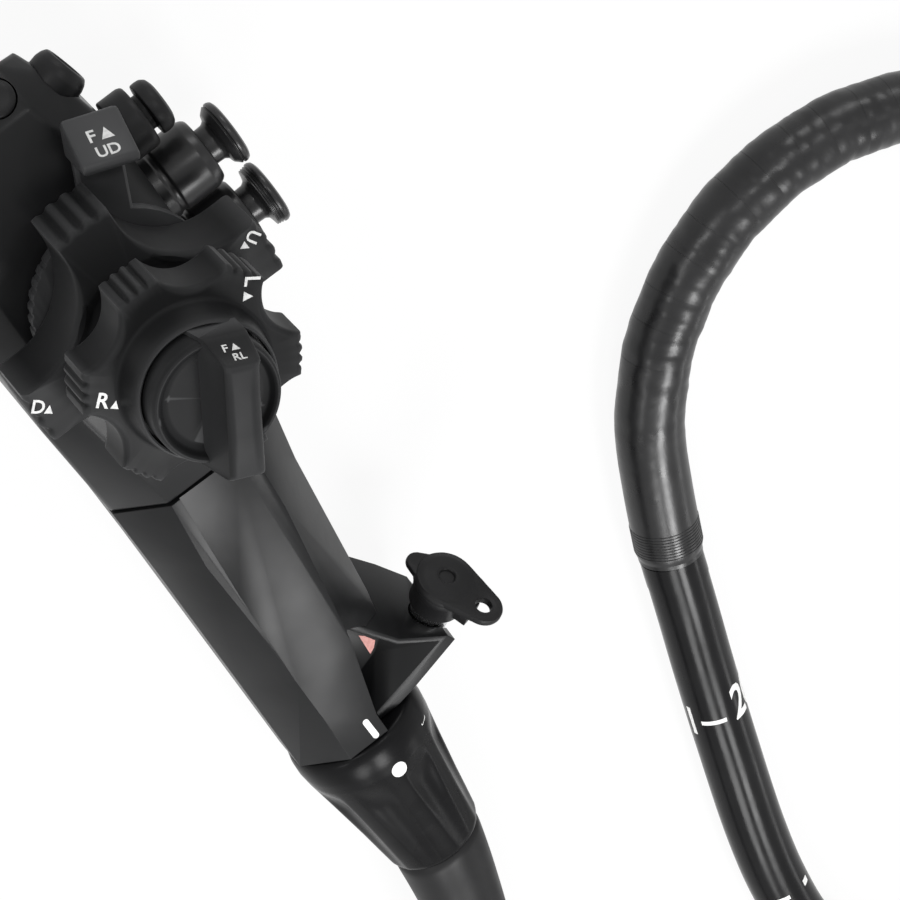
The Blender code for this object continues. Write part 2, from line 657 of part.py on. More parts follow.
def make_branch():
    """Channel branch with its three-sided recess, metal port and rubber valve with a hinged lid."""
    branch = stack("channel_branch", ((BRANCH_Z[0], BRANCH_FOOT), (BRANCH_Z[1], BRANCH_RIM)))
    cut(branch, stack("branch_recess", ((RECESS_Z, RECESS_FLOOR), (BRANCH_Z[1], RECESS_RIM), (40.0, RECESS_RIM))))
    bevel(branch, 0.5, 1, 40.0)
    low = PORT_LEN + 0.15
    skirt = low - 3.4
    cut(branch, turned("port_seat", ((0, 40.0), (SEAT_R + 0.4, 40.0), (SEAT_R + 0.4, skirt - FIT),
                                     (PORT_R + FIT, skirt - FIT), (PORT_R + FIT, PORT_LOW - 0.4), (0, PORT_LOW - 0.4)),
                       28, PORT_BASE, PORT_DIR))
    cut(branch, swept("channel_passage", ((10.5, -111.4, 15.4),) + CHANNEL_PATH[:6], 2.75, 2.0, 3))
    cut(branch, rod("sleeve_room", SLEEVE_R + 0.9, -2.1, 30.0, 32, (RING_X, RING_TOP_Y, RING_Z), (0, -1, 0)))
    place(branch, "shell")
    port = turned("channel_port", ((PORT_R - 0.6, PORT_LEN), (PORT_R, PORT_LEN - 0.6), (PORT_R, PORT_LOW),
                                   (PORT_BORE, PORT_LOW), (PORT_BORE, PORT_LEN)), 28, PORT_BASE, PORT_DIR)
    place(port, "steel")
    seat = turned("valve_seat", ((SEAT_R - 0.2, low + 2.6), (SEAT_R + 0.3, low + 2.1), (SEAT_R + 0.3, low + 0.8),
                                 (SEAT_R, low + 0.4), (SEAT_R, skirt), (PORT_R + 0.2, skirt), (PORT_R + 0.2, low),
                                 (1.2, low), (1.2, low + 2.6)), 28, PORT_BASE, PORT_DIR)
    matrix = axis_matrix(PORT_BASE, PORT_DIR, (0.25, -0.72, 0.65))
    block = box("hinge_block", (-2.2, SEAT_R - 1.0, low - 2.0), (2.2, SEAT_R + 2.3, low + 1.2))
    block.data.transform(matrix)
    join(seat, block)
    place(seat, "rubber")
    lid = turned("valve_lid", ((1.7, low + 5.2), (4.6, low + 5.2), (LID_R, low + 4.2), (LID_R, low + 2.9),
                               (1.7, low + 2.9)), 20)
    strap = prism("lid_strap", ((-4.6, 4.4), (4.6, 4.4), (4.0, 9.6), (-4.0, 9.6)), low + 2.9, low + 4.3)
    loop = pipe("lid_loop", 4.4, 1.9, low + 2.9, low + 4.3, 16, (0.4, LID_R + 3.4, 0))
    tab = rod("lid_tab", 2.1, low + 2.9, low + 4.3, 16, (0, -LID_R - 0.6, 0))
    cut(strap, rod("loop_hole", 1.9, low, low + 9.0, 16, (0.4, LID_R + 3.4, 0)))
    join(lid, strap, loop, tab)
    lid.data.transform(matrix)
    hinge = matrix @ (Vector((0, SEAT_R + 2.2, low + 2.2)) * MM) / MM
    place(lid, "rubber", hinge)
    return hinge, (matrix.to_3x3() @ Vector((1, 0, 0))).normalized()


def make_ring():
    """Fluted stiffness ring on its sleeve, and the tapered boot."""
    axis = (RING_X, 0, RING_Z)
    top = -RING_TOP_Y
    end = top + RING_LEN
    sleeve = pipe("ring_sleeve", SLEEVE_R + 0.6, SLEEVE_R - 1.0, top - 1.8, end, 32, axis, (0, -1, 0))
    place(sleeve, "black")
    outer = ((RING_R - 0.4, top), (RING_R, top + 0.8), (RING_R, top + 8.0), (RING_R - 0.9, top + 16.0),
             (RING_R - 3.2, end - 0.6), (RING_R - 4.0, end), (SLEEVE_R + 0.9, end), (SLEEVE_R + 0.9, top))
    ring = turned("stiffness_ring", outer, 32, axis, (0, -1, 0))
    cutters = []
    for i in range(RING_FLUTES):
        angle = 2 * math.pi * (i + 0.53) / RING_FLUTES
        spot = (RING_X + 18.9 * math.cos(angle), -top, RING_Z + 18.9 * math.sin(angle))
        aim = (-0.075 * math.cos(angle), -1, -0.075 * math.sin(angle))
        flute = rod("ring_flute", 6.4, 8.0, RING_LEN + 5.0, 12, spot, aim)
        cutters.append(flute)
    cut(ring, *cutters)
    place(ring, "rubber", (RING_X, RING_TOP_Y, RING_Z))
    place(make_boot(end + FIT, axis), "rubber")


def make_boot(start, axis):
    """Tapered strain boot, leaned to follow the start of the tube's path."""
    spots = [BOOT_LEN * i / 6 for i in range(7)]
    outer = [(float(np.interp(v, *BOOT_TAPER)), start + v) for v in spots]
    inner = [(TUBE_R + 0.75, start + v) for v in reversed(spots)]
    boot = turned("strain_boot", outer + inner, 18, axis, (0, -1, 0))
    for vert in boot.data.vertices:
        vert.co.x = lean(vert.co / MM)[0] * MM
    return boot


def make_tube():
    """Insertion tube as lead, coil and reach, then the smooth rubber-covered section."""
    place(swept("tube_lead", LEAD_FULL, TUBE_R, 8.0, 3), "gloss")
    w, r = TUBE_R, COIL_R
    low = TUBE_Z - w
    high = TUBE_Z + COIL_TURNS_Z + w
    ring = ((r + w * 0.6, high), (r + w, high - 3.2), (r + w, low + 3.2), (r + w * 0.6, low), (r - w * 0.6, low),
            (r - w, low + 3.2), (r - w, high - 3.2), (r - w * 0.6, high))
    coil = turned("tube_coil", ring, 36, (*COIL_CENTRE, 0), (0, 0, 1))
    place(coil, "gloss")
    place(swept("tube_reach", REACH_PATH, TUBE_R, 9.0, 3), "gloss")
    start = np.array(REACH_PATH[-1])
    after = np.array(SKIN_PATH[0])
    direction = (after - start) / np.linalg.norm(after - start)
    collar = turned("bending_collar", ((0, 5.3), (TUBE_R + 1.1, 5.3), (TUBE_R + 1.3, 4.6), (TUBE_R + 1.3, 1.1),
                                       (TUBE_R + 0.6, 0.5), (0, 0.5)), 32, start, direction)
    place(collar, "gloss")
    place(swept("passive_section", SKIN_PATH, SKIN_R, 8.0, 4), "rubber")


def link_body(name, proximal, distal):
    """One bending-section vertebra along local +X with forked ears about its two hinge axes."""
    low, high = LINK_WALL
    if proximal is None:
        low = -3.0
    body = pipe(name, LINK_R, LINK_BORE, low, high, 14, (0, 0, 0), (1, 0, 0))
    adds, cuts = [], []
    for kind, hinge, reach, heights in ((proximal, 0.0, low + 0.6, INNER_EAR), (distal, PITCH, high - 0.6, OUTER_EAR)):
        if kind is None:
            continue
        for side in (1, -1):
            h0, h1 = sorted((side * heights[0], side * heights[1]))
            ear = rod("ear", EAR_R, h0, h1, 8, (hinge, 0, 0), (0, 0, 1))
            a, b = sorted((hinge, reach))
            strap = box("strap", (a, -EAR_R, h0), (b, EAR_R, h1))
            pieces = [ear, strap]
            if heights is OUTER_EAR:
                r0, r1 = sorted((side * (INNER_EAR[0] - 0.2), side * (heights[0] + 0.1)))
                pieces.append(rod("rivet", RIVET_R, r0, r1, 6, (hinge, 0, 0), (0, 0, 1)))
            else:
                hole = rod("rivet_hole", RIVET_HOLE, h0 - 1, h1 + 1, 8, (hinge, 0, 0), (0, 0, 1))
                if kind == "RL":
                    hole.data.transform(Matrix.Rotation(math.radians(90), 4, "X"))
                cuts.append(hole)
            for piece in pieces:
                if kind == "RL":
                    piece.data.transform(Matrix.Rotation(math.radians(90), 4, "X"))
                adds.append(piece)
    join(body, *adds)
    cut(body, *cuts)
    return body


def chain():
    """Rest position and heading of every hinge of the bending section."""
    point = Vector((*BASE_POINT, SKIN_Z))
    heading = BASE_HEADING
    frames = []
    for i in range(HINGES):
        kind = "UD" if i % 2 == 0 else "RL"
        if kind == "UD":
            heading -= REST_BEND
        frames.append((kind, point.copy(), heading))
        step = Vector((math.cos(math.radians(heading)), math.sin(math.radians(heading)), 0))
        point += step * PITCH
    return frames


def make_bending():
    """Base vertebra, eleven linked vertebrae and the distal tip with its fittings."""
    frames = chain()
    base = link_body("base_vertebra", None, "UD")
    lead = Matrix.Rotation(math.radians(BASE_HEADING), 4, "Z")
    heading = Vector((math.cos(math.radians(BASE_HEADING)), math.sin(math.radians(BASE_HEADING)), 0))
    base.data.transform(Matrix.Translation((frames[0][1] - heading * PITCH) * MM) @ lead)
    place(base, "steel")
    for i in range(HINGES - 1):
        kind, point, angle = frames[i]
        link = link_body("vertebra_%02d" % (i + 1), kind, frames[i + 1][0])
        link.data.transform(Matrix.Translation(point * MM) @ Matrix.Rotation(math.radians(angle), 4, "Z"))
        place(link, "steel", point)
    kind, point, angle = frames[-1]
    matrix = Matrix.Translation(point * MM) @ Matrix.Rotation(math.radians(angle), 4, "Z")
    tip = turned("distal_tip", ((0, TIP_LEN), (TIP_R - 1.1, TIP_LEN), (TIP_R, TIP_LEN - 1.4), (TIP_R, 3.4), (LINK_R, 1.9),
                                (0, 1.9)), 28, (0, 0, 0), (1, 0, 0))
    cut(tip, rod("tip_bore", LINK_BORE, 0.0, 5.6, 20, (0, 0, 0), (1, 0, 0)))
    ears, holes = [], []
    for side in (1, -1):
        h0, h1 = sorted((side * INNER_EAR[0], side * INNER_EAR[1]))
        ears.append(rod("ear", EAR_R, h0, h1, 8, (0, 0, 0), (0, 0, 1)))
        ears.append(box("strap", (0, -EAR_R, h0), (3.4, EAR_R, h1)))
        holes.append(rod("rivet_hole", RIVET_HOLE, h0 - 1, h1 + 1, 8, (0, 0, 0), (0, 0, 1)))
    for piece in ears + holes:
        piece.data.transform(Matrix.Rotation(math.radians(90), 4, "X"))
    join(tip, *ears)
    cut(tip, *holes)
    for y, z, r, depth in TIP_BORES:
        cut(tip, rod("tip_hole", r + 0.15, TIP_LEN - depth, TIP_LEN + 5, 12, (0, y, z), (1, 0, 0)))
    y, z, r = CHANNEL_OUTLET
    cut(tip, rod("channel_outlet", r, 4.0, TIP_LEN + 5, 12, (0, y, z), (1, 0, 0)))
    tip.data.transform(matrix)
    place(tip, "black", point)
    names = ("objective_lens", "light_lens_a", "light_lens_b", "air_water_nozzle")
    kinds = ("glass", "glass", "glass", "steel")
    for label, look, (y, z, r, depth) in zip(names, kinds, TIP_BORES):
        stick = 0.9 if label == "air_water_nozzle" else 0.25
        piece = turned(label, ((0, TIP_LEN + stick), (r * 0.8, TIP_LEN + stick), (r, TIP_LEN + stick * 0.3),
                               (r, TIP_LEN - depth + 0.2), (0, TIP_LEN - depth + 0.2)), 16, (0, y, z), (1, 0, 0))
        piece.data.transform(matrix)
        place(piece, look, point)


def make_inner_lines():
    """Channel tube, light-guide bundle and pull-wire pipes inside the grip."""
    place(swept("channel_tube", CHANNEL_PATH, 2.3, 2.6, 2), "white")
    place(swept("light_guide_bundle", BUNDLE_PATH, 1.9, 8.0, 2), "white")
    place(swept("wire_pipe", WIRE_PATH, 0.9, 8.0, 2), "steel")


GLAND_R = 9.0
GLAND_POINT = (-20.5, 25.4, 18.0)
SIDE_SWITCHES = (
    ((14.1, 35.0, 23.5), (1.0, 0.28, 0.0), 5.3),
    ((2.6, 42.0, 30.0), (0.0, 0.6, 0.8), 3.5),
)
BRANCH_Z = (9.5, 27.0)
BRANCH_FOOT = ((-0.8, -93.4), (6.6, -92.0), (11.6, -99.9), (15.3, -106.9), (15.6, -112.0), (12.0, -116.4),
               (4.0, -117.3), (-2.2, -117.6), (-2.2, -112.0))
BRANCH_RIM = ((-1.7, -92.4), (-0.6, -94.0), (5.7, -105.0), (13.9, -111.6), (14.6, -113.4), (2.6, -116.7),
              (-1.8, -117.6), (-6.2, -117.6), (-6.2, -112.8))
RECESS_Z = 20.0
RECESS_FLOOR = ((-9.0, -96.5), (-1.0, -96.5), (4.2, -106.2), (1.0, -109.0), (-9.0, -112.6))
RECESS_RIM = ((-9.0, -92.0), (-2.0, -94.6), (4.9, -105.9), (11.9, -111.4), (-9.0, -116.4))
BOOT_LEAN = (0.12, 0.0025)
BOOT_TAPER = ((0.0, 2.0, 16.0, 34.0, BOOT_LEN), (9.5, 9.7, 8.9, 7.8, 7.3))
TIP_BORES = (
    (1.6, 1.7, 1.5, 1.6),
    (3.9, -1.6, 0.95, 1.6),
    (-1.4, 4.2, 0.95, 1.6),
    (-3.9, 0.9, 0.7, 1.6),
)
CHANNEL_OUTLET = (-1.2, -2.9, 1.7)
CHANNEL_PATH = ((7.4, -111.2, 15.2), (3.0, -111.0, 15.0), (-2.5, -111.05, 15.0), (-5.2, -112.4, 15.9),
                (-6.8, -115.2, 17.2), (-7.2, -118.4, 17.8), (-7.3, -122.0, 18.0), (-7.3, -140.0, 18.0))
BUNDLE_PATH = ((-15.0, 20.0, 20.0), (-17.0, -10.0, 19.0), (-16.5, -50.0, 18.5), (-15.0, -90.0, 18.3), (-14.7, -110.0, 18.1),
               (-14.75, -120.0, 18.0), (-14.75, -140.0, 18.0))
WIRE_PATH = ((-15.0, -14.0, 5.6), (-13.5, -50.0, 5.6), (-12.4, -95.0, 5.8), (-11.2, -102.0, 8.2), (-10.4, -109.0, 11.6),
             (-10.2, -114.6, 12.66), (-10.2, -126.0, 12.6), (-10.2, -140.0, 12.6))


def lean(point):
    """Follow the boot's lean at one point of its axis."""
    s = max(0.0, (RING_TOP_Y - RING_LEN) - point[1])
    return (point[0] - BOOT_LEAN[0] * s - BOOT_LEAN[1] * s * s, point[1], point[2])


LEAD_FULL = tuple(lean((RING_X, y, RING_Z)) for y in (-158.6, -166.0, -174.0, -182.0, -190.0, -198.0, -206.0)) + LEAD_TAIL


def main():
    """Build every piece."""
    make_head()
    make_grip()
    make_chassis()
    make_valve("suction", SUCTION_Y)
    make_valve("airwater", AIRWATER_Y)
    make_knobs()
    make_brakes()
    make_switches()
    make_gland()
    hinge, axis = make_branch()
    print("LID", tuple(round(v, 3) for v in hinge), tuple(round(v, 4) for v in axis))
    make_ring()
    make_tube()
    make_bending()
    make_inner_lines()


main()
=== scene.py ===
"""Flexible endoscope on a pale studio floor: insertion tube, rubber covers, printed marks and finishes."""
import json
from math import cos, pi, radians, sin, sqrt

import bmesh
import bpy
import numpy as np
from mathutils import Matrix, Vector, noise

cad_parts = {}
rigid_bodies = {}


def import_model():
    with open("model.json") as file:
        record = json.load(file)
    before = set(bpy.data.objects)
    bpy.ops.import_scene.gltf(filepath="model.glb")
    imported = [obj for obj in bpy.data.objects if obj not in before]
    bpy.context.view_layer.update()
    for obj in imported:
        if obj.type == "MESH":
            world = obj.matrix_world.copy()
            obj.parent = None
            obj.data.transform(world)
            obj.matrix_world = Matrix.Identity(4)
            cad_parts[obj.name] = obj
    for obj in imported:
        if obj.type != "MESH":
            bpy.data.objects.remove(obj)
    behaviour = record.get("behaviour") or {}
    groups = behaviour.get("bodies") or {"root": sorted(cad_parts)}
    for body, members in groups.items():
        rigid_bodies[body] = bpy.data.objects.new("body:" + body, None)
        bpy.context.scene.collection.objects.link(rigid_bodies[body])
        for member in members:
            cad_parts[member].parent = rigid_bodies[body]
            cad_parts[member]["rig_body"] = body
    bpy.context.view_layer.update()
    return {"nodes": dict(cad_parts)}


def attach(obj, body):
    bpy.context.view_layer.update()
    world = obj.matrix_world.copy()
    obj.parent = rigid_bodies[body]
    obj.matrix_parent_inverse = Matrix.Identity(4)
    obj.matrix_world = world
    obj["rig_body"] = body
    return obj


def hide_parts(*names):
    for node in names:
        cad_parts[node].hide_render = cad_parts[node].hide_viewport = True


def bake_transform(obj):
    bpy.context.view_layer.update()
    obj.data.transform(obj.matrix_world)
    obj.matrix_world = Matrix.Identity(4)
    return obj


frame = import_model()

# Lengths are in millimetres of the drawing, unless a line says otherwise; SHIFT leads to the row frame.
MM = 0.001
SHIFT = Vector((-1.15, 80.84, 0.0))
ROOT = "control_section"

# Insertion tube
TUBE_R = 6.4
TUBE_Z = 6.45
TUBE_SIDES = 28
UPPER_Z = 19.4
COIL_CENTRE = (20.0, -370.0)
COIL_R = 75.0
COIL_START = 170.0
COIL_END = 742.0
COIL_STEP = 11.0
COIL_DROP = (398.0, 505.0)
RING_X = -10.4
RING_Z = 18.0
BOOT_TOP_Y = -155.0
BOOT_LEAN = (0.12, 0.0025)
LEAD_TAIL = ((-28.3, -219.0, 18.2), (-36.0, -239.0, 18.6), (-43.2, -261.0, 19.0),
             (-49.2, -286.0, 19.3), (-53.0, -308.0, 19.4), (-54.2, -323.9, 19.4))
REACH_PATH = ((80.2, -318.7, TUBE_Z), (67.1, -296.1, TUBE_Z), (60.5, -287.0, TUBE_Z),
              (52.0, -274.0, TUBE_Z), (45.6, -260.0, TUBE_Z), (43.0, -246.0, TUBE_Z),
              (43.4, -231.4, TUBE_Z), (45.6, -216.0, TUBE_Z), (50.6, -192.7, TUBE_Z),
              (54.8, -174.0, 6.9), (58.9, -156.4, 7.75), (60.6, -149.4, 7.75))

# Depth marks, counted in centimetres from the tip
FIRST_DEPTH = 20
DEPTH_STEP = 5
FIRST_MARK = (50.2, -180.9, TUBE_Z)
UNMARKED_END = 45.0

# Bending section
SKIN_Z = 7.75
SKIN_R = 7.1
SKIN_WALL = 0.45
SKIN_SIDES = 40
SKIN_PATH = ((62.0, -143.6, SKIN_Z), (64.3, -136.5, SKIN_Z), (67.0, -128.6, SKIN_Z),
             (70.6, -119.0, SKIN_Z), (73.4, -113.4, SKIN_Z), (76.3, -109.1, SKIN_Z))
SLEEVE_PATH = ((60.6, -149.4, SKIN_Z), (61.2, -146.8, SKIN_Z), (62.0, -143.6, SKIN_Z))
SLEEVE_R = 6.5
BASE_POINT = (83.0, -100.5)
BASE_HEADING = 52.0
REST_BEND = 14.6
PITCH = 7.1
HINGES = 12

# Handle
KNOB_SIDES = 288
GROOVE_FADE = 0.75
FIN_FOOT_Z = 80.0
FIN_ANGLE = 62.0
RING_TOP = 118.0
RING_LENGTH = 37.0
RING_R = 13.3
RING_SIDES = 256
BOOT_BORE_R = 6.95
AXIS_R = 0.02
INK = 0.06
INK_LIFT = 0.03


def spot(x, y, z):
    """A point of the drawing, in metres in the row frame."""
    return (Vector((x, y, z)) + SHIFT) * MM


def eased(value):
    """Smooth step from 0 to 1."""
    value = min(1.0, max(0.0, value))
    return value * value * (3.0 - 2.0 * value)


def turns(count):
    """Evenly spaced angles of one full turn."""
    return [2.0 * pi * k / count for k in range(count)]


def quarter(steps):
    """Cosine and sine at even steps of a quarter turn."""
    return [(cos(pi / 2.0 * k / steps), sin(pi / 2.0 * k / steps))
            for k in range(steps + 1)]


def bowed(start, bend, end, t):
    """Point of the curve from start to end that leans towards the bend."""
    return tuple(start * (1 - t) ** 2 + bend * 2 * t * (1 - t) + end * t * t)


def placed(name, data):
    """A new object in the scene."""
    obj = bpy.data.objects.new(name, data)
    bpy.context.scene.collection.objects.link(obj)
    return obj


def evaluated_mesh(obj):
    """Plain mesh of an object with its curve or modifier carried out."""
    bpy.context.view_layer.update()
    return bpy.data.meshes.new_from_object(obj.evaluated_get(bpy.context.evaluated_depsgraph_get()))


def add_node(tree, kind, inputs=None, **settings):
    """A new node; each named input is linked to a socket or set to a value."""
    node = tree.nodes.new(kind)
    for key, value in settings.items():
        setattr(node, key, value)
    for key, value in (inputs or {}).items():
        if isinstance(value, bpy.types.NodeSocket):
            tree.links.new(value, node.inputs[key])
        else:
            node.inputs[key].default_value = value
    return node


# Materials


def noise_at(tree, place, scale, detail=3.0, stretch=None):
    """Noise at a number of features per metre, optionally stretched."""
    if stretch:
        place = add_node(tree, "ShaderNodeMapping", {"Scale": stretch, "Vector": place}).outputs["Vector"]
    inputs = {"Scale": scale, "Detail": detail, "Vector": place}
    return add_node(tree, "ShaderNodeTexNoise", inputs).outputs["Fac"]


def ramp(tree, source, low, high, first, second):
    """Map a value between two numbers or colours."""
    node = add_node(tree, "ShaderNodeValToRGB", {"Fac": source})
    for element, position, value in zip(node.color_ramp.elements, (low, high), (first, second)):
        element.position = position
        element.color = (*value, 1.0) if isinstance(value, tuple) else (value, value, value, 1.0)
    return node.outputs["Color"]


def finish(name, colour, gloss, tones, sheen, relief, specular=0.5, metallic=0.0, coat=0.0, rim_highlight=None):
    """One procedural material in Object coordinates.

    The tones and the sheen are a noise and the ramp that turns it into colour and roughness. Each relief
    is a noise with the strength and distance of its bump. The rim highlight gives the ramp over the surface's
    pointiness and the lighter colour painted there, a painted highlight on convex edges.
    """
    material = bpy.data.materials.new(name)
    material.use_nodes = True
    material.diffuse_color = (*colour, 1.0)
    tree = material.node_tree
    shader = tree.nodes["Principled BSDF"]
    for socket, value in (("Base Color", (*colour, 1.0)), ("Roughness", gloss), ("Metallic", metallic),
                          ("Specular IOR Level", specular), ("Coat Weight", coat)):
        shader.inputs[socket].default_value = value
    place = add_node(tree, "ShaderNodeTexCoord").outputs["Object"]
    paint = ramp(tree, noise_at(tree, place, *tones[0]), *tones[1:])
    # Painted highlight: edges that pointiness finds convex get a lighter colour, standing in for light on the
    # rims.
    if rim_highlight:
        low, high, light = rim_highlight
        pointed = add_node(tree, "ShaderNodeNewGeometry").outputs["Pointiness"]
        share = ramp(tree, pointed, low, high, 0.0, 1.0)
        inputs = {"Factor": share, "A": paint, "B": (*light, 1.0)}
        paint = add_node(tree, "ShaderNodeMix", inputs, data_type="RGBA").outputs["Result"]
    tree.links.new(paint, shader.inputs["Base Color"])
    tree.links.new(ramp(tree, noise_at(tree, place, *sheen[0]), *sheen[1:]), shader.inputs["Roughness"])
    below = {}
    for grain, strength, distance in relief:
        height = noise_at(tree, place, *grain)
        inputs = {"Strength": strength, "Distance": distance, "Height": height, **below}
        below = {"Normal": add_node(tree, "ShaderNodeBump", inputs).outputs["Normal"]}
    if below:
        tree.links.new(below["Normal"], shader.inputs["Normal"])
    return material


def moulded(name, dark, light, rough, grain, specular):
    """Moulded plastic with fine spark grain, faint flow marks and uneven gloss."""
    return finish(name, dark, sum(rough) / 2,
                  ((38.0,), 0.35, 0.7, dark, light), ((90.0, 4.0), 0.3, 0.7, *rough),
                  (((5200.0, 2.0), grain, 0.00006), ((240.0, 2.0), 0.1, 0.0002)), specular)


def mark_paint(name, dark, light):
    """Printed paint with slightly uneven cover."""
    return finish(name, light, 0.5,
                  ((1400.0, 4.0), 0.25, 0.6, dark, light), ((2000.0,), 0.3, 0.7, 0.42, 0.55),
                  (((2600.0,), 0.1, 0.00004),))


CHARCOAL, LIGHT_CHARCOAL = (0.009, 0.0092, 0.0096), (0.014, 0.0142, 0.0148)
HOUSING = moulded("housing_plastic", CHARCOAL, LIGHT_CHARCOAL, (0.3, 0.36), 0.1, 0.13)
KNOB = moulded("knob_plastic", CHARCOAL, LIGHT_CHARCOAL, (0.36, 0.46), 0.12, 0.16)
# Knob plastic whose convex rims are painted lighter, a painted highlight in place of light catching them.
KNOB_WITH_PAINTED_RIMS = finish("knob_plastic_painted_rims", (0.01, 0.01, 0.0105), 0.42,
                     ((38.0,), 0.35, 0.7, CHARCOAL, LIGHT_CHARCOAL), ((90.0, 4.0), 0.3, 0.7, 0.42, 0.52),
                     (((5200.0, 2.0), 0.12, 0.00006),), 0.08, rim_highlight=(0.5, 0.6, (0.055, 0.0555, 0.057)))
VALVE = moulded("valve_plastic", (0.01, 0.01, 0.0105), (0.016, 0.016, 0.0165), (0.26, 0.34), 0.06, 0.3)
# Lighter than the knob plastic: partly the lever's own lighter grey, partly a painted highlight for the light
# falling on its tab.
LEVER_TONE_AND_SHEEN = moulded("lever_grey_and_painted_sheen", (0.028, 0.0285, 0.0295), (0.04, 0.0405, 0.042), (0.4, 0.5), 0.14, 0.25)
RUBBER = finish("soft_rubber", (0.01, 0.01, 0.0105), 0.5,
                ((60.0, 4.0), 0.35, 0.7, (0.008, 0.008, 0.0085), (0.016, 0.016, 0.0165)),
                ((150.0, 4.0), 0.3, 0.7, 0.4, 0.5), (((3400.0, 3.0), 0.16, 0.00007),), 0.16)
RING_FINISH = finish("ring_rubber", (0.008, 0.008, 0.009), 0.34,
                     ((50.0, 4.0), 0.35, 0.7, (0.004, 0.004, 0.0044), (0.008, 0.008, 0.0085)),
                     ((160.0, 4.0), 0.3, 0.7, 0.24, 0.33), (((3600.0, 2.0), 0.1, 0.00006),), 0.08)
SHEATH = finish("tube_sheath", (0.006, 0.006, 0.0065), 0.16,
                ((45.0, 4.0), 0.35, 0.7, (0.005, 0.005, 0.0055), (0.009, 0.009, 0.0095)),
                ((120.0, 5.0), 0.35, 0.75, 0.19, 0.3), (((260.0, 3.0), 0.12, 0.0002),), 0.13)
COVER = finish("cover_rubber", (0.008, 0.008, 0.0085), 0.22,
               ((110.0, 4.0), 0.35, 0.7, (0.006, 0.006, 0.0065), (0.013, 0.013, 0.0135)),
               ((200.0, 4.0), 0.3, 0.7, 0.26, 0.36),
               (((300.0, 2.0), 0.12, 0.0003), ((1500.0, 2.0), 0.12, 0.0001)), 0.34)
STEEL = finish("stainless_steel", (0.56, 0.565, 0.57), 0.25,
               ((80.0,), 0.3, 0.7, (0.5, 0.505, 0.51), (0.62, 0.625, 0.63)),
               ((900.0, 3.0, (1.0, 1.0, 0.06)), 0.3, 0.7, 0.2, 0.36),
               (((2600.0, 2.0, (1.0, 1.0, 0.1)), 0.08, 0.00005),), metallic=1.0)
BRASS = finish("drum_brass", (0.5, 0.34, 0.14), 0.32,
               ((200.0,), 0.3, 0.7, (0.42, 0.28, 0.11), (0.55, 0.38, 0.17)),
               ((400.0,), 0.3, 0.7, 0.26, 0.42), (((1800.0,), 0.1, 0.00006),), metallic=1.0)
GLASS = finish("lens_glass", (0.02, 0.03, 0.05), 0.04,
               ((700.0,), 0.3, 0.7, (0.015, 0.022, 0.045), (0.03, 0.045, 0.07)),
               ((900.0,), 0.3, 0.7, 0.03, 0.07), (), coat=1.0)
WHITE_LINE = finish("white_polymer", (0.72, 0.72, 0.7), 0.45,
                    ((120.0,), 0.3, 0.7, (0.66, 0.66, 0.63), (0.76, 0.76, 0.74)),
                    ((300.0,), 0.3, 0.7, 0.38, 0.5), (((900.0,), 0.1, 0.0001),))
PRINT = mark_paint("printed_marks", (0.5, 0.5, 0.5), (0.72, 0.72, 0.71))
BRIGHT_PRINT = mark_paint("white_marks", (0.74, 0.74, 0.73), (0.86, 0.86, 0.85))
PATCH_PAINT = mark_paint("pink_patch", (0.62, 0.21, 0.18), (0.72, 0.3, 0.26))


# Mesh helpers


def finish_mesh(obj, sharp):
    """Merge doubles, face outwards and shade smooth up to an angle in degrees."""
    bm = bmesh.new()
    bm.from_mesh(obj.data)
    bmesh.ops.remove_doubles(bm, verts=bm.verts, dist=0.000001)
    bmesh.ops.recalc_face_normals(bm, faces=bm.faces)
    bm.to_mesh(obj.data)
    bm.free()
    obj.data.shade_smooth()
    obj.data.set_sharp_from_angle(angle=radians(sharp))


def settle(obj, material, body, replaced):
    """Tell a piece's body and the solid that it replaces; the material is not used."""
    if body:
        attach(obj, body)
    if replaced:
        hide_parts(replaced)


def piece(name, shape, material, body, sharp, replaced=None):
    """One finished piece from its vertices and faces, with its place in its mesh."""
    verts, faces = shape
    mesh = bpy.data.meshes.new(name)
    mesh.from_pydata([tuple(v) for v in verts], [], faces)
    mesh.materials.append(material)
    obj = placed(name, mesh)
    finish_mesh(obj, sharp)
    settle(obj, material, body, replaced)
    return obj


def smooth_line(points, step):
    """Centripetal curve through the points, resampled at an even step."""
    pts = [np.array(p, float) for p in points]
    pts = [2 * pts[0] - pts[1]] + pts + [2 * pts[-1] - pts[-2]]
    dense = []
    for a, b, c, d in zip(pts, pts[1:], pts[2:], pts[3:]):
        knots = [0.0]
        for p, q in ((a, b), (b, c), (c, d)):
            knots.append(knots[-1] + max(1e-6, np.linalg.norm(q - p)) ** 0.5)
        t0, t1, t2, t3 = knots
        count = max(4, int(np.linalg.norm(c - b) / 0.5))
        for t in np.linspace(t1, t2, count, endpoint=False):
            a1 = (t1 - t) / (t1 - t0) * a + (t - t0) / (t1 - t0) * b
            a2 = (t2 - t) / (t2 - t1) * b + (t - t1) / (t2 - t1) * c
            a3 = (t3 - t) / (t3 - t2) * c + (t - t2) / (t3 - t2) * d
            b1 = (t2 - t) / (t2 - t0) * a1 + (t - t0) / (t2 - t0) * a2
            b2 = (t3 - t) / (t3 - t1) * a2 + (t - t1) / (t3 - t1) * a3
            dense.append((t2 - t) / (t2 - t1) * b1 + (t - t1) / (t2 - t1) * b2)
    dense.append(pts[-2])
    dense = np.array(dense)
    along = np.concatenate([[0.0], np.cumsum(np.linalg.norm(np.diff(dense, axis=0), axis=1))])
    count = max(2, int(round(along[-1] / step)) + 1)
    even = np.linspace(0.0, along[-1], count)
    return np.stack([np.interp(even, along, dense[:, k]) for k in range(3)], axis=1)


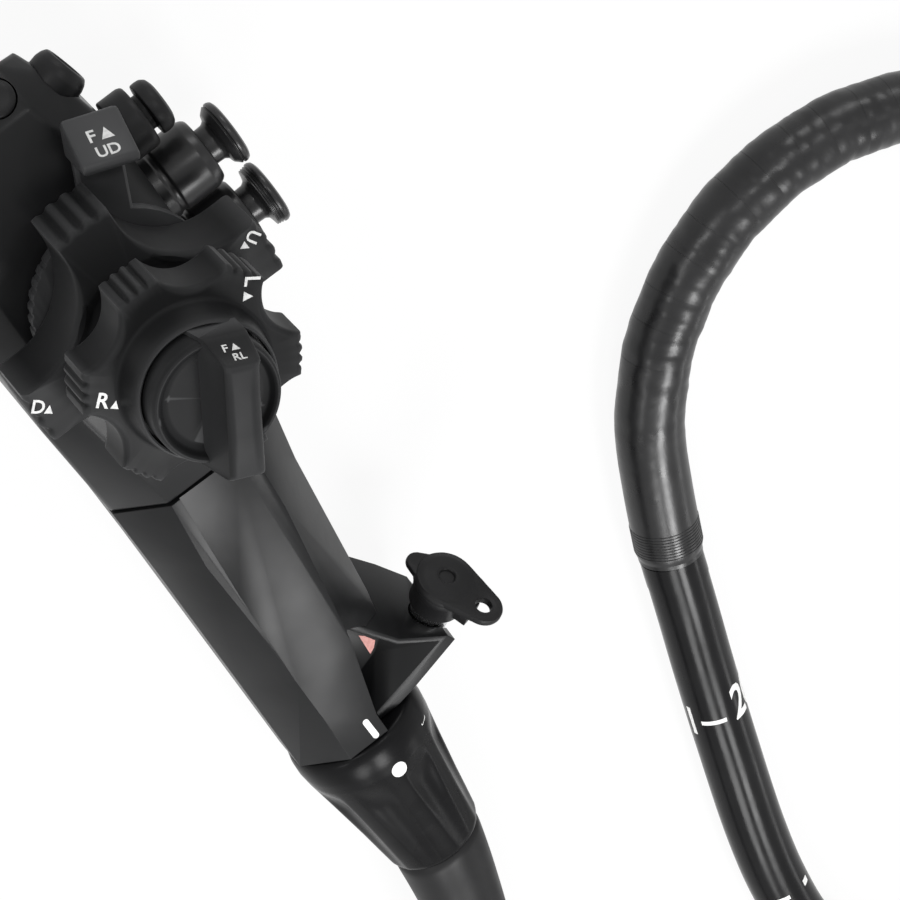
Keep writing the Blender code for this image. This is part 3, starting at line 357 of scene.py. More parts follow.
class Route:
    """A path with a level frame at every point, for sweeping and for wrapping marks."""

    def __init__(self, points):
        self.points = np.array(points, float)
        lengths = np.linalg.norm(np.diff(self.points, axis=0), axis=1)
        self.along = np.concatenate([[0.0], np.cumsum(lengths)])
        tangent = np.gradient(self.points, self.along, axis=0)
        self.tangent = tangent / np.linalg.norm(tangent, axis=1)[:, None]
        side = np.cross(self.tangent, (0.0, 0.0, 1.0))
        self.side = side / np.linalg.norm(side, axis=1)[:, None]
        self.up = np.cross(self.side, self.tangent)

    def at(self, distance, angle, radius):
        """The point at a distance along the path, an angle from the top and a radius."""
        mix = [np.array([np.interp(distance, self.along, rows[:, k]) for k in range(3)])
               for rows in (self.points, self.up, self.side)]
        around = mix[1] * cos(angle) + mix[2] * sin(angle)
        return spot(*(mix[0] + radius * around))

    def ring(self, index, radii):
        """Points of one ring around a point of the path, one radius for each side."""
        made = []
        for angle, radius in zip(turns(len(radii)), radii):
            around = self.up[index] * cos(angle) + self.side[index] * sin(angle)
            made.append(spot(*(self.points[index] + radius * around)))
        return made

    def tube(self, radius, sides):
        """A round solid along the whole path."""
        return capped([self.ring(i, [radius] * sides) for i in range(len(self.points))])


def bridge(rings, closed=False):
    """Quads between successive rings; a closed set also joins the last ring to the first."""
    sides = len(rings[0])
    verts = [v for ring in rings for v in ring]
    faces = []
    for i in range(len(rings) if closed else len(rings) - 1):
        j = (i + 1) % len(rings)
        for k in range(sides):
            n = (k + 1) % sides
            faces.append((i * sides + k, i * sides + n, j * sides + n, j * sides + k))
    return verts, faces


def capped(rings):
    """A solid through the rings with a flat cap at each end."""
    verts, faces = bridge(rings)
    sides = len(rings[0])
    last = (len(rings) - 1) * sides
    faces.append(tuple(range(sides)))
    faces.append(tuple(last + k for k in reversed(range(sides))))
    return verts, faces


def merged(parts):
    """Several vertex and face lists as one."""
    verts, faces = [], []
    for some, these in parts:
        offset = len(verts)
        verts += list(some)
        faces += [tuple(v + offset for v in f) for f in these]
    return verts, faces


def taken(mesh, place):
    """A mesh's vertices, each through a mapping, with its faces; the mesh is removed."""
    shape = [place(v.co) for v in mesh.vertices], [tuple(p.vertices) for p in mesh.polygons]
    bpy.data.meshes.remove(mesh)
    return shape


# Camera, floor and light


def make_camera():
    """Camera at the photograph's place and angle, in metres."""
    data = bpy.data.cameras.new("camera")
    data.lens = 182.88
    data.sensor_width = 36.0
    data.clip_start = 0.05
    camera = placed("camera", data)
    tilt, turn = radians(35.0), radians(9.05)
    right = Vector((0.78941476, -0.46079212, 0.40557979))
    top = Vector((0.6071939, 0.68324272, -0.40557979))
    ground = Vector((-sin(turn), cos(turn), 0.0))
    forward = -(sin(tilt) * ground + cos(tilt) * Vector((0, 0, 1)))
    axes = Matrix((right, top, -forward)).transposed().to_4x4()
    camera.matrix_world = Matrix.Translation((-0.04496195, 0.49464407, 0.73723684)) @ axes
    bpy.context.scene.camera = camera


def backdrop_white(tree, shader_output, strength):
    """White for the camera, reflections and glass over the given shader, as a socket."""
    rays = add_node(tree, "ShaderNodeLightPath").outputs
    seen = rays["Is Camera Ray"]
    for kind in ("Is Glossy Ray", "Is Transmission Ray"):
        seen = add_node(tree, "ShaderNodeMath", {0: seen, 1: rays[kind]}, operation="MAXIMUM").outputs[0]
    share = add_node(tree, "ShaderNodeMath", {0: seen, 1: strength}, operation="MULTIPLY")
    white = add_node(tree, "ShaderNodeEmission", {"Color": (1, 1, 1, 1), "Strength": 1.0})
    inputs = {"Fac": share.outputs[0], 1: shader_output, 2: white.outputs[0]}
    return add_node(tree, "ShaderNodeMixShader", inputs).outputs[0]


def make_floor():
    """Pale floor that keeps the object's shadow, in metres."""
    mesh = bpy.data.meshes.new("studio_floor")
    reach = 6.0
    corners = [(-reach, -reach, 0), (reach, -reach, 0), (reach, reach, 0), (-reach, reach, 0)]
    mesh.from_pydata(corners, [], [(0, 1, 2, 3)])
    floor = placed("studio_floor", mesh)
    floor.location.z = -0.0002
    material = bpy.data.materials.new("studio_floor")
    material.use_nodes = True
    tree = material.node_tree
    shader = tree.nodes["Principled BSDF"]
    for socket, value in (("Base Color", (0.86, 0.86, 0.86, 1)), ("Roughness", 0.9),
                          ("Specular IOR Level", 0.1)):
        shader.inputs[socket].default_value = value
    output = tree.nodes["Material Output"]
    tree.links.new(backdrop_white(tree, shader.outputs[0], 0.92), output.inputs["Surface"])
    mesh.materials.append(material)


def make_world():
    """Soft white surroundings, brighter to the eye than to the light."""
    world = bpy.data.worlds.new("studio")
    bpy.context.scene.world = world
    world.use_nodes = True
    tree = world.node_tree
    soft = tree.nodes["Background"]
    soft.inputs["Color"].default_value = (1, 1, 1, 1)
    soft.inputs["Strength"].default_value = 0.25
    output = tree.nodes["World Output"]
    tree.links.new(backdrop_white(tree, soft.outputs[0], 1.0), output.inputs["Surface"])


def lamp(name, place, target, size, power):
    """One soft area lamp aimed at a point, in metres and watts."""
    data = bpy.data.lights.new(name, "AREA")
    data.shape = "RECTANGLE"
    data.size, data.size_y = size
    data.energy = power
    obj = placed(name, data)
    obj.location = place
    obj.rotation_euler = (Vector(target) - Vector(place)).to_track_quat("-Z", "Y").to_euler()


def make_light():
    """Softbox for the sheen of the grip's top face, and small lamps that mirror in the round parts."""
    lamp("top_softbox", (-0.04, -0.65, 1.02), (-0.01, 0.01, 0.03), (0.3, 0.45), 10.5)
    centre, distance = Vector((0.03, 0.0, 0.02)), 1.1
    for name, toward, size, power in (
            ("tube_strip", (-0.50, -0.55, 0.67), (0.26, 0.4), 4.6),
            ("left_lamp", (-0.80, 0.15, 0.57), (0.3, 0.12), 1.1),
            ("upper_left_lamp", (-0.41, 0.68, 0.61), (0.3, 0.12), 1.9),
            ("upper_lamp", (0.24, 0.53, 0.81), (0.3, 0.12), 1.6),
            ("right_lamp", (0.58, 0.07, 0.81), (0.3, 0.3), 0.3),
            ("low_strip", (0.515, -0.80, 0.295), (0.3, 0.12), 0.5),
            ("far_low_lamp", (0.60, 0.80, 0.14), (0.45, 0.25), 2.2)):
        lamp(name, centre + Vector(toward).normalized() * distance, centre, size, power)


# Insertion tube


def lean(y):
    """Axis of the strain boot at one distance down the handle."""
    s = max(0.0, BOOT_TOP_Y - y)
    return (RING_X - BOOT_LEAN[0] * s - BOOT_LEAN[1] * s * s, y, RING_Z)


def tube_route():
    """Whole route of the tube: out of the boot, round the coil and back to the bending section."""
    points = [lean(y) for y in (-187.0, -193.0, -200.0, -206.0)] + list(LEAD_TAIL)
    angle = COIL_START
    while angle < COIL_END + 0.1:
        drop = eased((angle - COIL_DROP[0]) / (COIL_DROP[1] - COIL_DROP[0]))
        turn = radians(angle)
        points.append((COIL_CENTRE[0] + COIL_R * cos(turn), COIL_CENTRE[1] + COIL_R * sin(turn),
                       UPPER_Z + (TUBE_Z - UPPER_Z) * drop))
        angle += COIL_STEP
    points += list(REACH_PATH)
    return smooth_line(points, 2.0)


def strip(route, start, end, first, last):
    """Printed bar on the tube between two distances and two angles in degrees, as a thin solid."""
    rows = max(2, int(abs(end - start) / 0.8) + 1)
    columns = max(2, int(abs(last - first) / 5.0) + 1)
    verts, faces = [], []
    for radius in (TUBE_R - 0.1, TUBE_R + INK_LIFT):
        for i in range(rows):
            for k in range(columns):
                distance = start + (end - start) * i / (rows - 1)
                angle = radians(first + (last - first) * k / (columns - 1))
                verts.append(route.at(distance, angle, radius))
    layer = rows * columns
    for i in range(rows - 1):
        for k in range(columns - 1):
            a = i * columns + k
            quad = (a, a + 1, a + columns + 1, a + columns)
            faces += [quad, tuple(v + layer for v in quad)]
    rim = list(range(columns)) + [i * columns + columns - 1 for i in range(1, rows)]
    rim += [(rows - 1) * columns + k for k in range(columns - 2, -1, -1)]
    rim += [i * columns for i in range(rows - 2, 0, -1)]
    for a, b in zip(rim, rim[1:] + rim[:1]):
        faces.append((a, b, b + layer, a + layer))
    return verts, faces


def letters(text, cap):
    """Letters as a flat mesh solid in metres, from their cap height."""
    data = bpy.data.curves.new("letters", "FONT")
    height = cap * MM
    data.body = text
    data.size = height / 0.73
    data.align_x = "LEFT"
    data.extrude = INK * MM / 2
    data.offset = height * 0.025
    data.resolution_u = 3
    obj = placed("letters", data)
    mesh = evaluated_mesh(obj)
    bpy.data.objects.remove(obj)
    bpy.data.curves.remove(data)
    return mesh


def sliced(mesh, step):
    """Cut a flat mesh by evenly spaced planes across both directions."""
    bm = bmesh.new()
    bm.from_mesh(mesh)
    bmesh.ops.remove_doubles(bm, verts=bm.verts, dist=1e-7)
    for axis in (0, 1):
        values = [v.co[axis] for v in bm.verts]
        cut = min(values) + step
        while cut < max(values) - 1e-6:
            point, normal = Vector((0, 0, 0)), Vector((0, 0, 0))
            point[axis], normal[axis] = cut, 1.0
            bmesh.ops.bisect_plane(bm, geom=bm.verts[:] + bm.edges[:] + bm.faces[:],
                                   plane_co=point, plane_no=normal)
            cut += step
    bm.to_mesh(mesh)
    bm.free()
    return mesh


def wrapped_number(route, text, distance, first, cap):
    """A slightly narrow number printed across the tube, its foot at a distance, its left side at an angle."""
    def around(point):
        x, y, z = point / MM
        return route.at(distance + y, radians(first) + 0.75 * x / TUBE_R, TUBE_R + z)

    return taken(sliced(letters(text, cap), 0.5 * MM), around)


def make_tube_marks(route):
    """Depth marks every 50 mm from the tip, numbered at each 100 mm."""
    nearest = int(np.argmin(np.linalg.norm(route.points - np.array(FIRST_MARK), axis=1)))
    first = float(route.along[nearest])
    parts = []
    depth = FIRST_DEPTH
    while first - (depth - FIRST_DEPTH) * 10.0 > UNMARKED_END:
        centre = first - (depth - FIRST_DEPTH) * 10.0
        parts.append(strip(route, centre - 0.5, centre + 0.5, -54.0, -5.0))
        if depth % 10 == 0:
            parts.append(strip(route, centre - 3.6, centre + 3.6, -82.0, -73.0))
            parts.append(wrapped_number(route, str(depth), centre - 1.4, 13.0, 8.4))
        else:
            parts.append(strip(route, centre - 0.8, centre + 0.8, 34.0, 50.0))
        depth += DEPTH_STEP
    return piece("tube_marks", merged(parts), BRIGHT_PRINT, ROOT, 20.0)


# Bending section


def compass(heading):
    """Unit direction in the floor plane, from an angle in degrees."""
    return Vector((cos(radians(heading)), sin(radians(heading)), 0.0))


def hinge_frames():
    """Rest position and the headings before and after every hinge."""
    point, heading = Vector((*BASE_POINT, SKIN_Z)), BASE_HEADING
    frames = []
    for i in range(HINGES):
        before = heading
        if i % 2 == 0:
            heading -= REST_BEND
        frames.append((point.copy(), compass(before), compass(heading)))
        point += compass(heading) * PITCH
    return frames


def wrinkle(distance, angle, share):
    """Radius of the rubber cover: shallow rings over the vertebrae and uneven folds."""
    ring = -0.025 * cos(2.0 * pi * distance / (PITCH / 2.0))
    folds = noise.noise(Vector((distance * 0.36, cos(angle) * 1.5, sin(angle) * 1.5)))
    fine = noise.noise(Vector((distance * 0.95 + 40.0, cos(angle) * 2.4, sin(angle) * 2.4)))
    return SKIN_R - 0.06 + share * (ring + 0.16 * folds + 0.06 * fine)


def tube_shell(name, points, radius_at, body, replaced=None):
    """Closed rubber sleeve along the points, with an outer and an inner wall."""
    route = Route(points)
    outer, inner = [], []
    for i, along in enumerate(route.along):
        outer.append(route.ring(i, [radius_at(along, turn) for turn in turns(SKIN_SIDES)]))
        inner.append(route.ring(i, [SKIN_R - SKIN_WALL] * SKIN_SIDES))
    return piece(name, bridge(outer + inner[::-1], True), COVER, body, 50.0, replaced)


def make_passive_cover():
    """Smooth rubber between the thread binding and the first hinge, narrowed at its lower end."""
    point, before, _ = hinge_frames()[0]
    points = smooth_line(list(SKIN_PATH) + [tuple(point - before * (PITCH / 2.0))], 0.7)
    total = np.linalg.norm(np.diff(points, axis=0), axis=1).sum()

    def radius_at(distance, angle):
        share = eased((distance - total * 0.35) / (total * 0.65))
        narrow = 0.55 * (1.0 - eased(distance / 2.4))
        return wrinkle(distance - total, angle, share) - narrow

    return tube_shell("passive_cover", points, radius_at, ROOT, "passive_section")


def thread_rings(sizes):
    """Rings of binding thread, repeated along z by Geometry Nodes, as a plain mesh in metres."""
    tree = bpy.data.node_groups.new("thread_rings", "GeometryNodeTree")
    tree.interface.new_socket(name="Geometry", in_out="OUTPUT", socket_type="NodeSocketGeometry")
    for name, value in sizes.items():
        kind = "NodeSocketInt" if isinstance(value, int) else "NodeSocketFloat"
        tree.interface.new_socket(name=name, in_out="INPUT", socket_type=kind).default_value = value

    def then(kind, **inputs):
        return add_node(tree, kind, {key.replace("_", " "): value for key, value in inputs.items()}).outputs

    given = then("NodeGroupInput")
    step = then("ShaderNodeCombineXYZ", Z=given["Pitch"])
    line = then("GeometryNodeMeshLine", Count=given["Turns"], Offset=step["Vector"])
    loop = then("GeometryNodeCurvePrimitiveCircle", Resolution=72, Radius=given["Radius"])
    profile = then("GeometryNodeCurvePrimitiveCircle", Resolution=10, Radius=given["Thread"])
    sweep = then("GeometryNodeCurveToMesh", Curve=loop["Curve"], Profile_Curve=profile["Curve"])
    stand = then("GeometryNodeInstanceOnPoints", Points=line["Mesh"], Instance=sweep["Mesh"])
    real = then("GeometryNodeRealizeInstances", Geometry=stand["Instances"])
    dressed = then("GeometryNodeSetMaterial", Geometry=real["Geometry"], Material=COVER)
    then("NodeGroupOutput", Geometry=dressed["Geometry"])
    carrier = placed("thread_carrier", bpy.data.meshes.new("thread_carrier"))
    modifier = carrier.modifiers.new("Thread rings", "NODES")
    modifier.node_group = tree
    for item in tree.interface.items_tree:
        if item.in_out == "INPUT":
            modifier[item.identifier] = sizes[item.name]
    made = evaluated_mesh(carrier)
    carrier.modifiers.remove(modifier)
    bpy.data.objects.remove(carrier)
    return made


def make_thread_binding():
    """Thread wound over the lower end of the rubber, under a skin of varnish."""
    made = thread_rings({"Turns": 9, "Pitch": 0.68 * MM, "Radius": (SKIN_R - 0.09) * MM, "Thread": 0.13 * MM})
    direction = (Vector(SKIN_PATH[1]) - Vector(SKIN_PATH[0])).normalized()
    start = Vector(SKIN_PATH[0]) + direction * 2.6
    lift = Matrix.Translation(spot(*start)) @ direction.to_track_quat("Z", "Y").to_matrix().to_4x4()
    return piece("thread_binding", taken(made, lambda point: lift @ point), COVER, ROOT, 60.0)


def make_tube_sleeve():
    """Flush end of the tube under the rubber, in place of the raised collar."""
    shape = Route(smooth_line(SLEEVE_PATH, 0.5)).tube(SLEEVE_R, 48)
    return piece("tube_end_sleeve", shape, SHEATH, ROOT, 60.0, "bending_collar")


def make_bending_covers():
    """Twelve lengths of rubber, each bowed over one hinge in its rest pose."""
    made = []
    for i, (point, before, after) in enumerate(hinge_frames()):
        start = point - before * (PITCH / 2.0)
        end = point + after * (PITCH / 2.0)
        points = [bowed(start, point, end, t) for t in np.linspace(0.0, 1.0, 17)]
        obj = tube_shell("bending_cover_%02d" % (i + 1), points,
                         lambda along, angle, n=i: wrinkle(along + n * PITCH, angle, 1.0), None)
        near, far = start.lerp(end, 0.16), start.lerp(end, 0.84)
        tuple(spot(*near))
        tuple(spot(*far))
        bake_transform(obj)
        made.append(obj)
    return made


# Knobs and dial

# Name, solid, body, lobes (see lobed_radius), lower and upper edge with their rounding, rings of the bore.
KNOBS = (
    ("up_down_hand_knob", "ud_knob", "up_down_control",
     (27.15, (31.4, 16.6), 4, 45.0, (0.75, 3.1, 7.2), 5.0),
     (41.0, 55.0, 1.5),
     ((14.3, 55.0), (13.9, 54.8), (12.2, 53.5), (11.8, 53.4), (7.5, 53.4), (7.5, 45.0), (13.0, 45.0),
      (13.0, 41.0))),
    ("right_left_hand_knob", "rl_knob", "right_left_control",
     (21.4, (24.2, 7.9), 6, 60.0, (0.7, 2.4, 5.8), 4.2),
     (63.8, 74.2, 1.3),
     ((14.7, 74.2), (14.3, 74.3), (14.0, 74.6), (13.8, 75.2), (13.6, 76.2), (13.3, 78.2), (13.1, 80.0),
      (12.9, 80.8), (12.6, 81.1), (12.3, 80.9), (12.2, 80.4), (12.2, 78.2), (5.1, 78.2), (5.1, 55.5),
      (10.6, 55.5), (10.6, 63.8))),
)


def scooped(off, centre, radius, outside):
    """Radius at an angle off the middle of a round scoop, or the outer radius beside it."""
    inside = radius ** 2 - (centre * sin(off)) ** 2
    return centre * cos(off) - sqrt(inside) if inside > 0 else outside


def soft_min(a, b, blend):
    """The smaller of two radii, rounded off where they meet."""
    low, high = min(a, b), max(a, b)
    return low - max(0.0, blend - (high - low)) ** 2 / (4.0 * blend)


def lobed_radius(angle, edge, tip, scallop, lobes, phase, groove, blend):
    """Radius of a lobed knob at an angle in radians, with three finger grooves that fade at its edges."""
    depth, width, spread = groove
    depth = depth * (1.0 - GROOVE_FADE * edge)
    step = 2.0 * pi / lobes
    off = (angle - radians(phase) + step / 2.0) % step - step / 2.0
    rounded = soft_min(tip, scooped(off, *scallop, tip), blend)
    from_tip = (angle - radians(phase)) % step - step / 2.0
    dip = 0.0
    for side in (-1, 0, 1):
        gap = abs(from_tip - radians(side * spread)) / radians(width)
        dip = max(dip, cos(gap * pi / 2.0) ** 2 if gap < 1.0 else 0.0)
    return rounded - depth * dip


def knob_rings(lobes, low, high, rounding):
    """Rings of a knob's outer wall from its lower to its upper edge, with rounded edges."""
    levels = [(low + rounding * (1.0 - c), rounding * (1.0 - s)) for c, s in quarter(5)]
    levels += [(high - rounding * (1.0 - c), rounding * (1.0 - s)) for c, s in reversed(quarter(5))]
    made = []
    for z, inset in levels:
        ring = []
        for turn in turns(KNOB_SIDES):
            r = lobed_radius(turn, inset / rounding, *lobes) - inset
            ring.append(spot(r * cos(turn), r * sin(turn), z))
        made.append(ring)
    return made


def make_knobs():
    """Up-down and right-left knobs with soft lobes and grooved tips."""
    for name, solid, body, lobes, edges, bore in KNOBS:
        rings = knob_rings(lobes, *edges)
        rings += [[spot(r * cos(t), r * sin(t), z) for t in turns(KNOB_SIDES)] for r, z in bore]
        piece(name, bridge(rings, True), KNOB_WITH_PAINTED_RIMS, body, 32.0, solid)


def revolve(profile, origin, direction, steps):
    """Rings of a solid of revolution from radius and height pairs about a direction."""
    axis = Vector(direction).normalized()
    side = axis.orthogonal().normalized()
    other = axis.cross(side)
    rings = []
    for radius, height in profile:
        ring = []
        for turn in turns(steps):
            around = side * cos(turn) + other * sin(turn)
            ring.append(spot(*(Vector(origin) + axis * height + around * radius)))
        rings.append(ring)
    return rings


def softened(profile, radius, steps=3):
    """The same open profile with its corners rounded."""
    points = [Vector((r, h)) for r, h in profile]
    made = [tuple(points[0])]
    for before, here, after in zip(points, points[1:], points[2:]):
        to_before, to_after = before - here, after - here
        cut = min(radius, to_before.length * 0.45, to_after.length * 0.45)
        start = here + to_before.normalized() * cut
        end = here + to_after.normalized() * cut
        made += [bowed(start, here, end, k / steps) for k in range(steps + 1)]
    made.append(tuple(points[-1]))
    return made


def lathed(profile, rounding, origin, direction, steps=96):
    """A softened turned part: capped where its profile starts at the axis, else a wall round a bore."""
    soft = softened(profile, rounding)
    if profile[0][0] == AXIS_R:
        return capped(revolve(soft, origin, direction, steps))
    return bridge(revolve(soft + [profile[0]], origin, direction, steps))


def fin_rings():
    """Cross-sections of the dial's fin: soft shoulders, a broad foot and a short raked end."""
    rings = []
    foot, right = 3.6, -5.8
    for x, top, left_round, right_round in (
            (-12.3, 90.6, 0.7, 1.0), (-12.2, 91.5, 0.9, 1.5), (-11.8, 92.2, 1.2, 2.2), (-11.2, 92.6, 1.5, 2.6),
            (-4.0, 92.6, 1.5, 2.8), (4.0, 92.6, 1.5, 2.8), (8.0, 92.6, 1.4, 2.4), (9.0, 92.45, 1.1, 1.4),
            (9.5, 92.0, 0.9, 1.0), (10.6, 89.5, 0.8, 0.9), (11.7, 87.0, 0.8, 0.9), (12.0, 86.2, 0.7, 0.8),
            (12.1, 85.2, 0.6, 0.7)):
        left = 1.0 + 2.6 * (1.0 - (top - FIN_FOOT_Z) / 12.6)
        ring = [(right, FIN_FOOT_Z)]
        ring += [(right + right_round * (1.0 - c), top - right_round * (1.0 - s)) for c, s in quarter(8)]
        ring += [(left - left_round * (1.0 - s), top - left_round * (1.0 - c)) for c, s in quarter(8)]
        ring.append((foot, FIN_FOOT_Z))
        rings.append([(x, y, z) for y, z in ring])
    return rings


def make_dial():
    """Right-left brake dial: a rimmed disc with a broad raked fin."""
    dish = ((AXIS_R, 84.0), (8.6, 84.0), (9.8, 84.3), (10.5, 85.3), (11.0, 85.6), (11.4, 85.4), (11.75, 84.6),
            (11.8, 79.6), (11.5, 79.0), (10.9, 78.6), (AXIS_R, 78.6))
    turn = Matrix.Rotation(radians(FIN_ANGLE), 3, "Z")
    fin = capped([[spot(*(turn @ Vector(v))) for v in ring] for ring in fin_rings()])
    shape = merged([lathed(dish, 0.3, (0, 0, 0), (0, 0, 1), 144), fin])
    piece("right_left_brake_dial", shape, KNOB_WITH_PAINTED_RIMS, "right_left_brake", 40.0, "rl_brake_dial")


# Ring and boot


def make_ring():
    """Fluted stiffness ring with a plain band at its top, from depths and radii along it."""
    stations = ((0.0, -1.0), (0.12, -0.2), (0.5, 0.3), (1.1, 0.6), (2.5, 0.9), (5.0, 1.0), (8.0, 0.7),
                (12.0, 0.1), (16.0, -0.5), (21.0, -1.2), (26.0, -1.9), (31.0, -2.5), (35.6, -3.1), (36.5, -3.4),
                (36.9, -3.9), (RING_LENGTH, -4.4))
    depths = [depth for depth, _ in stations]
    radii = [RING_R + extra for _, extra in stations]
    step = 2.0 * pi / 8
    rings = []
    for depth in sorted(set(depths + [6.0 + 0.7 * k for k in range(44)])):
        plain = float(np.interp(depth, depths, radii))
        fluted = eased((depth - 7.5) / 9.0)
        ring = []
        for turn in turns(RING_SIDES):
            off = (turn - step * 0.53 + step / 2.0) % step - step / 2.0
            scoop = scooped(off, 19.4 - 0.085 * depth, 6.4, 99.0)
            ring.append(plain + (soft_min(plain, scoop, 0.5) - plain) * fluted)
        rings.append((depth, ring))
    rings += [(depth, [8.5] * RING_SIDES) for depth in (RING_LENGTH, 0.0)]
    rings = [[spot(RING_X + r * cos(turn), -RING_TOP - depth, RING_Z + r * sin(turn))
              for turn, r in zip(turns(RING_SIDES), ring)] for depth, ring in rings]
    piece("fluted_stiffness_ring", bridge(rings, True), RING_FINISH, "stiffness_dial", 36.0, "stiffness_ring")


def make_boot():
    """Tapered strain boot that leans into the tube's first bend."""
    spots = [52.0 * k / 60 for k in range(61)]
    outer = [float(np.interp(v, (0.0, 2.0, 16.0, 34.0, 52.0), (9.4, 9.5, 8.5, 7.5, 7.25))) for v in spots]
    outer[0], outer[-1] = 9.0, 7.0
    rings = []
    for v, r in list(zip(spots, outer)) + [(v, BOOT_BORE_R) for v in reversed(spots)]:
        x, y, z = lean(-155.3 - v)
        rings.append([spot(x + r * cos(t), y, z + r * sin(t)) for t in turns(96)])
    piece("tapered_boot", bridge(rings, True), RUBBER, ROOT, 40.0, "strain_boot")


# Valves and switches


def make_valve(name, y, body, ridges):
    """Valve cylinder and its waisted button."""
    origin, along = (0, y, 21.5), (1, 0, 0)
    wall = ((4.6, 12.5), (7.1, 12.5), (7.1, 18.4), (6.75, 18.8), (6.75, 19.6), (7.1, 20.0), (7.1, 26.6),
            (6.6, 28.0), (6.1, 28.6), (4.6, 28.6))
    cylinder = lathed(wall, 0.3, origin, along, 112)
    piece(name + "_valve_cylinder", cylinder, VALVE, ROOT, 34.0, name + "_cylinder")
    stem = [(AXIS_R, 34.45), (3.6, 34.8), (5.3, 34.75), (6.1, 34.4), (6.4, 33.8), (6.4, 33.2)]
    for k in range(ridges):
        x = 33.0 - 0.5 * k
        stem += [(5.95, x), (6.3 - 0.12 * k, x - 0.22)]
    stem += [(5.2, 31.6), (4.2, 31.3), (3.7, 30.6), (3.6, 27.6), (AXIS_R, 27.6)]
    button = lathed(stem, 0.2, origin, along, 112)
    piece(name + "_valve_button", button, VALVE, body, 34.0, name + "_button")


def make_switches():
    """Tall remote switch with its bezel, and the domed one beside it."""
    low_spot, high_spot = (0, 19.8, 25.5), (14.1, 35.0, 23.5)
    level, raked = (1, 0, 0), (1, 0.28, 0)
    for name, solid, body, rounding, origin, direction, profile in (
            ("remote_switch_bezel", "switch_bezel", ROOT, 0.4, low_spot, level,
             ((3.9, 16.9), (6.3, 16.9), (6.3, 21.4), (5.9, 22.3), (3.9, 22.3))),
            ("tall_remote_switch", "remote_switch_1", "remote_switch_a", 0.3, low_spot, level,
             ((AXIS_R, 27.0), (3.4, 26.95), (4.6, 26.5), (5.2, 25.6), (5.3, 24.6), (5.2, 23.6), (3.5, 23.5),
              (3.5, 15.4), (AXIS_R, 15.4))),
            ("domed_remote_switch", "remote_switch_2", "remote_switch_b", 0.3, high_spot, raked,
             ((AXIS_R, 1.7), (2.2, 1.75), (3.1, 2.1), (3.6, 2.75), (4.3, 2.6), (4.9, 1.7), (5.25, 0.5),
              (5.3, -2.6), (AXIS_R, -2.6)))):
        piece(name, lathed(profile, rounding, origin, direction), RUBBER, body, 34.0, solid)


# Port lid

PORT_BASE = Vector((12.8, -111.2, 19.0))
PORT_DIR = Vector((0.50, 0.70, 0.50)).normalized()
LID_LOW = 13.05
BAND_SIDES = 120


def port_spot(x, y, z):
    """A point beside the channel port: z along the port, y towards the lid's loop."""
    hint = Vector((0.25, -0.72, 0.65))
    along = (hint - PORT_DIR * hint.dot(PORT_DIR)).normalized()
    return spot(*(PORT_BASE + along.cross(PORT_DIR) * x + along * y + PORT_DIR * z))


def port_ring(centre, radii, z):
    """One ring about a centre beside the port, one radius for each side."""
    return [port_spot(centre[0] + r * cos(t), centre[1] + r * sin(t), z)
            for t, r in zip(turns(len(radii)), radii)]


def reach_from(centre, angle, discs):
    """How far a ray from a centre stays inside the tapered band between two discs."""
    (ax, ay, ar), (bx, by, br) = discs
    share = np.linspace(0.0, 1.0, 25)
    reach = 0.0
    while True:
        x, y = centre[0] + reach * cos(angle), centre[1] + reach * sin(angle)
        across, off = x - (ax + (bx - ax) * share), y - (ay + (by - ay) * share)
        gap = np.hypot(across, off) - (ar + (br - ar) * share)
        if gap.min() > 0.0:
            return reach
        reach += 0.04


def lid_band(centre, discs, hole, low, high):
    """A rounded flat band over two discs, with or without a round hole."""
    reaches = [reach_from(centre, turn, discs) for turn in turns(BAND_SIDES)]
    rings = [port_ring(centre, [r - inset for r in reaches], z) for inset, z in (
        (0.45, low), (0.12, low + 0.12), (0.0, low + 0.45), (0.0, high - 0.5), (0.15, high - 0.15), (0.5, high))]
    if not hole:
        return capped(rings)
    rings += [port_ring(centre, [radius] * BAND_SIDES, z) for radius, z in (
        (hole + 0.5, high), (hole + 0.12, high - 0.15), (hole, high - 0.5), (hole, low))]
    return bridge(rings, True)


def make_lid():
    """Rubber lid with its finger tab and the loop of its strap."""
    crown = ((AXIS_R, 1.0), (1.3, 1.0), (1.5, 1.9), (1.8, 2.25), (2.3, 2.3), (4.6, 2.05), (5.8, 1.6), (6.3, 0.9),
             (6.35, 0.0), (AXIS_R, 0.0))
    dome = capped([port_ring((0.0, 0.0), [radius] * 96, LID_LOW + height)
                   for radius, height in softened(crown, 0.3)])
    strap = lid_band((0.2, 9.0), ((0.0, 0.0, 6.0), (0.2, 9.0, 3.9)), 1.6, LID_LOW, LID_LOW + 1.7)
    tab = lid_band((0.0, -2.0), ((0.0, 0.0, 5.3), (0.6, -6.3, 2.3)), None, LID_LOW, LID_LOW + 1.35)
    body = frame["nodes"]["valve_lid"]["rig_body"]
    piece("rubber_port_lid", merged([dome, strap, tab]), RUBBER, body, 40.0, "valve_lid")


# Solids that keep their shape: their finish, and softened copies of the outer ones

FINISHES = {name: material for material, names in (
    (HOUSING, "control_housing back_cover grip_front_shell grip_back_shell channel_branch"),
    (KNOB, "knob_column cord_gland ring_sleeve distal_tip"),
    (LEVER_TONE_AND_SHEEN, "ud_brake_lever"),
    (RUBBER, "remote_switch_3 valve_seat"),
    (BRASS, "ud_drum rl_drum"),
    (GLASS, "objective_lens light_lens_a light_lens_b"),
    (WHITE_LINE, "channel_tube light_guide_bundle"),
) for name in names.split()}

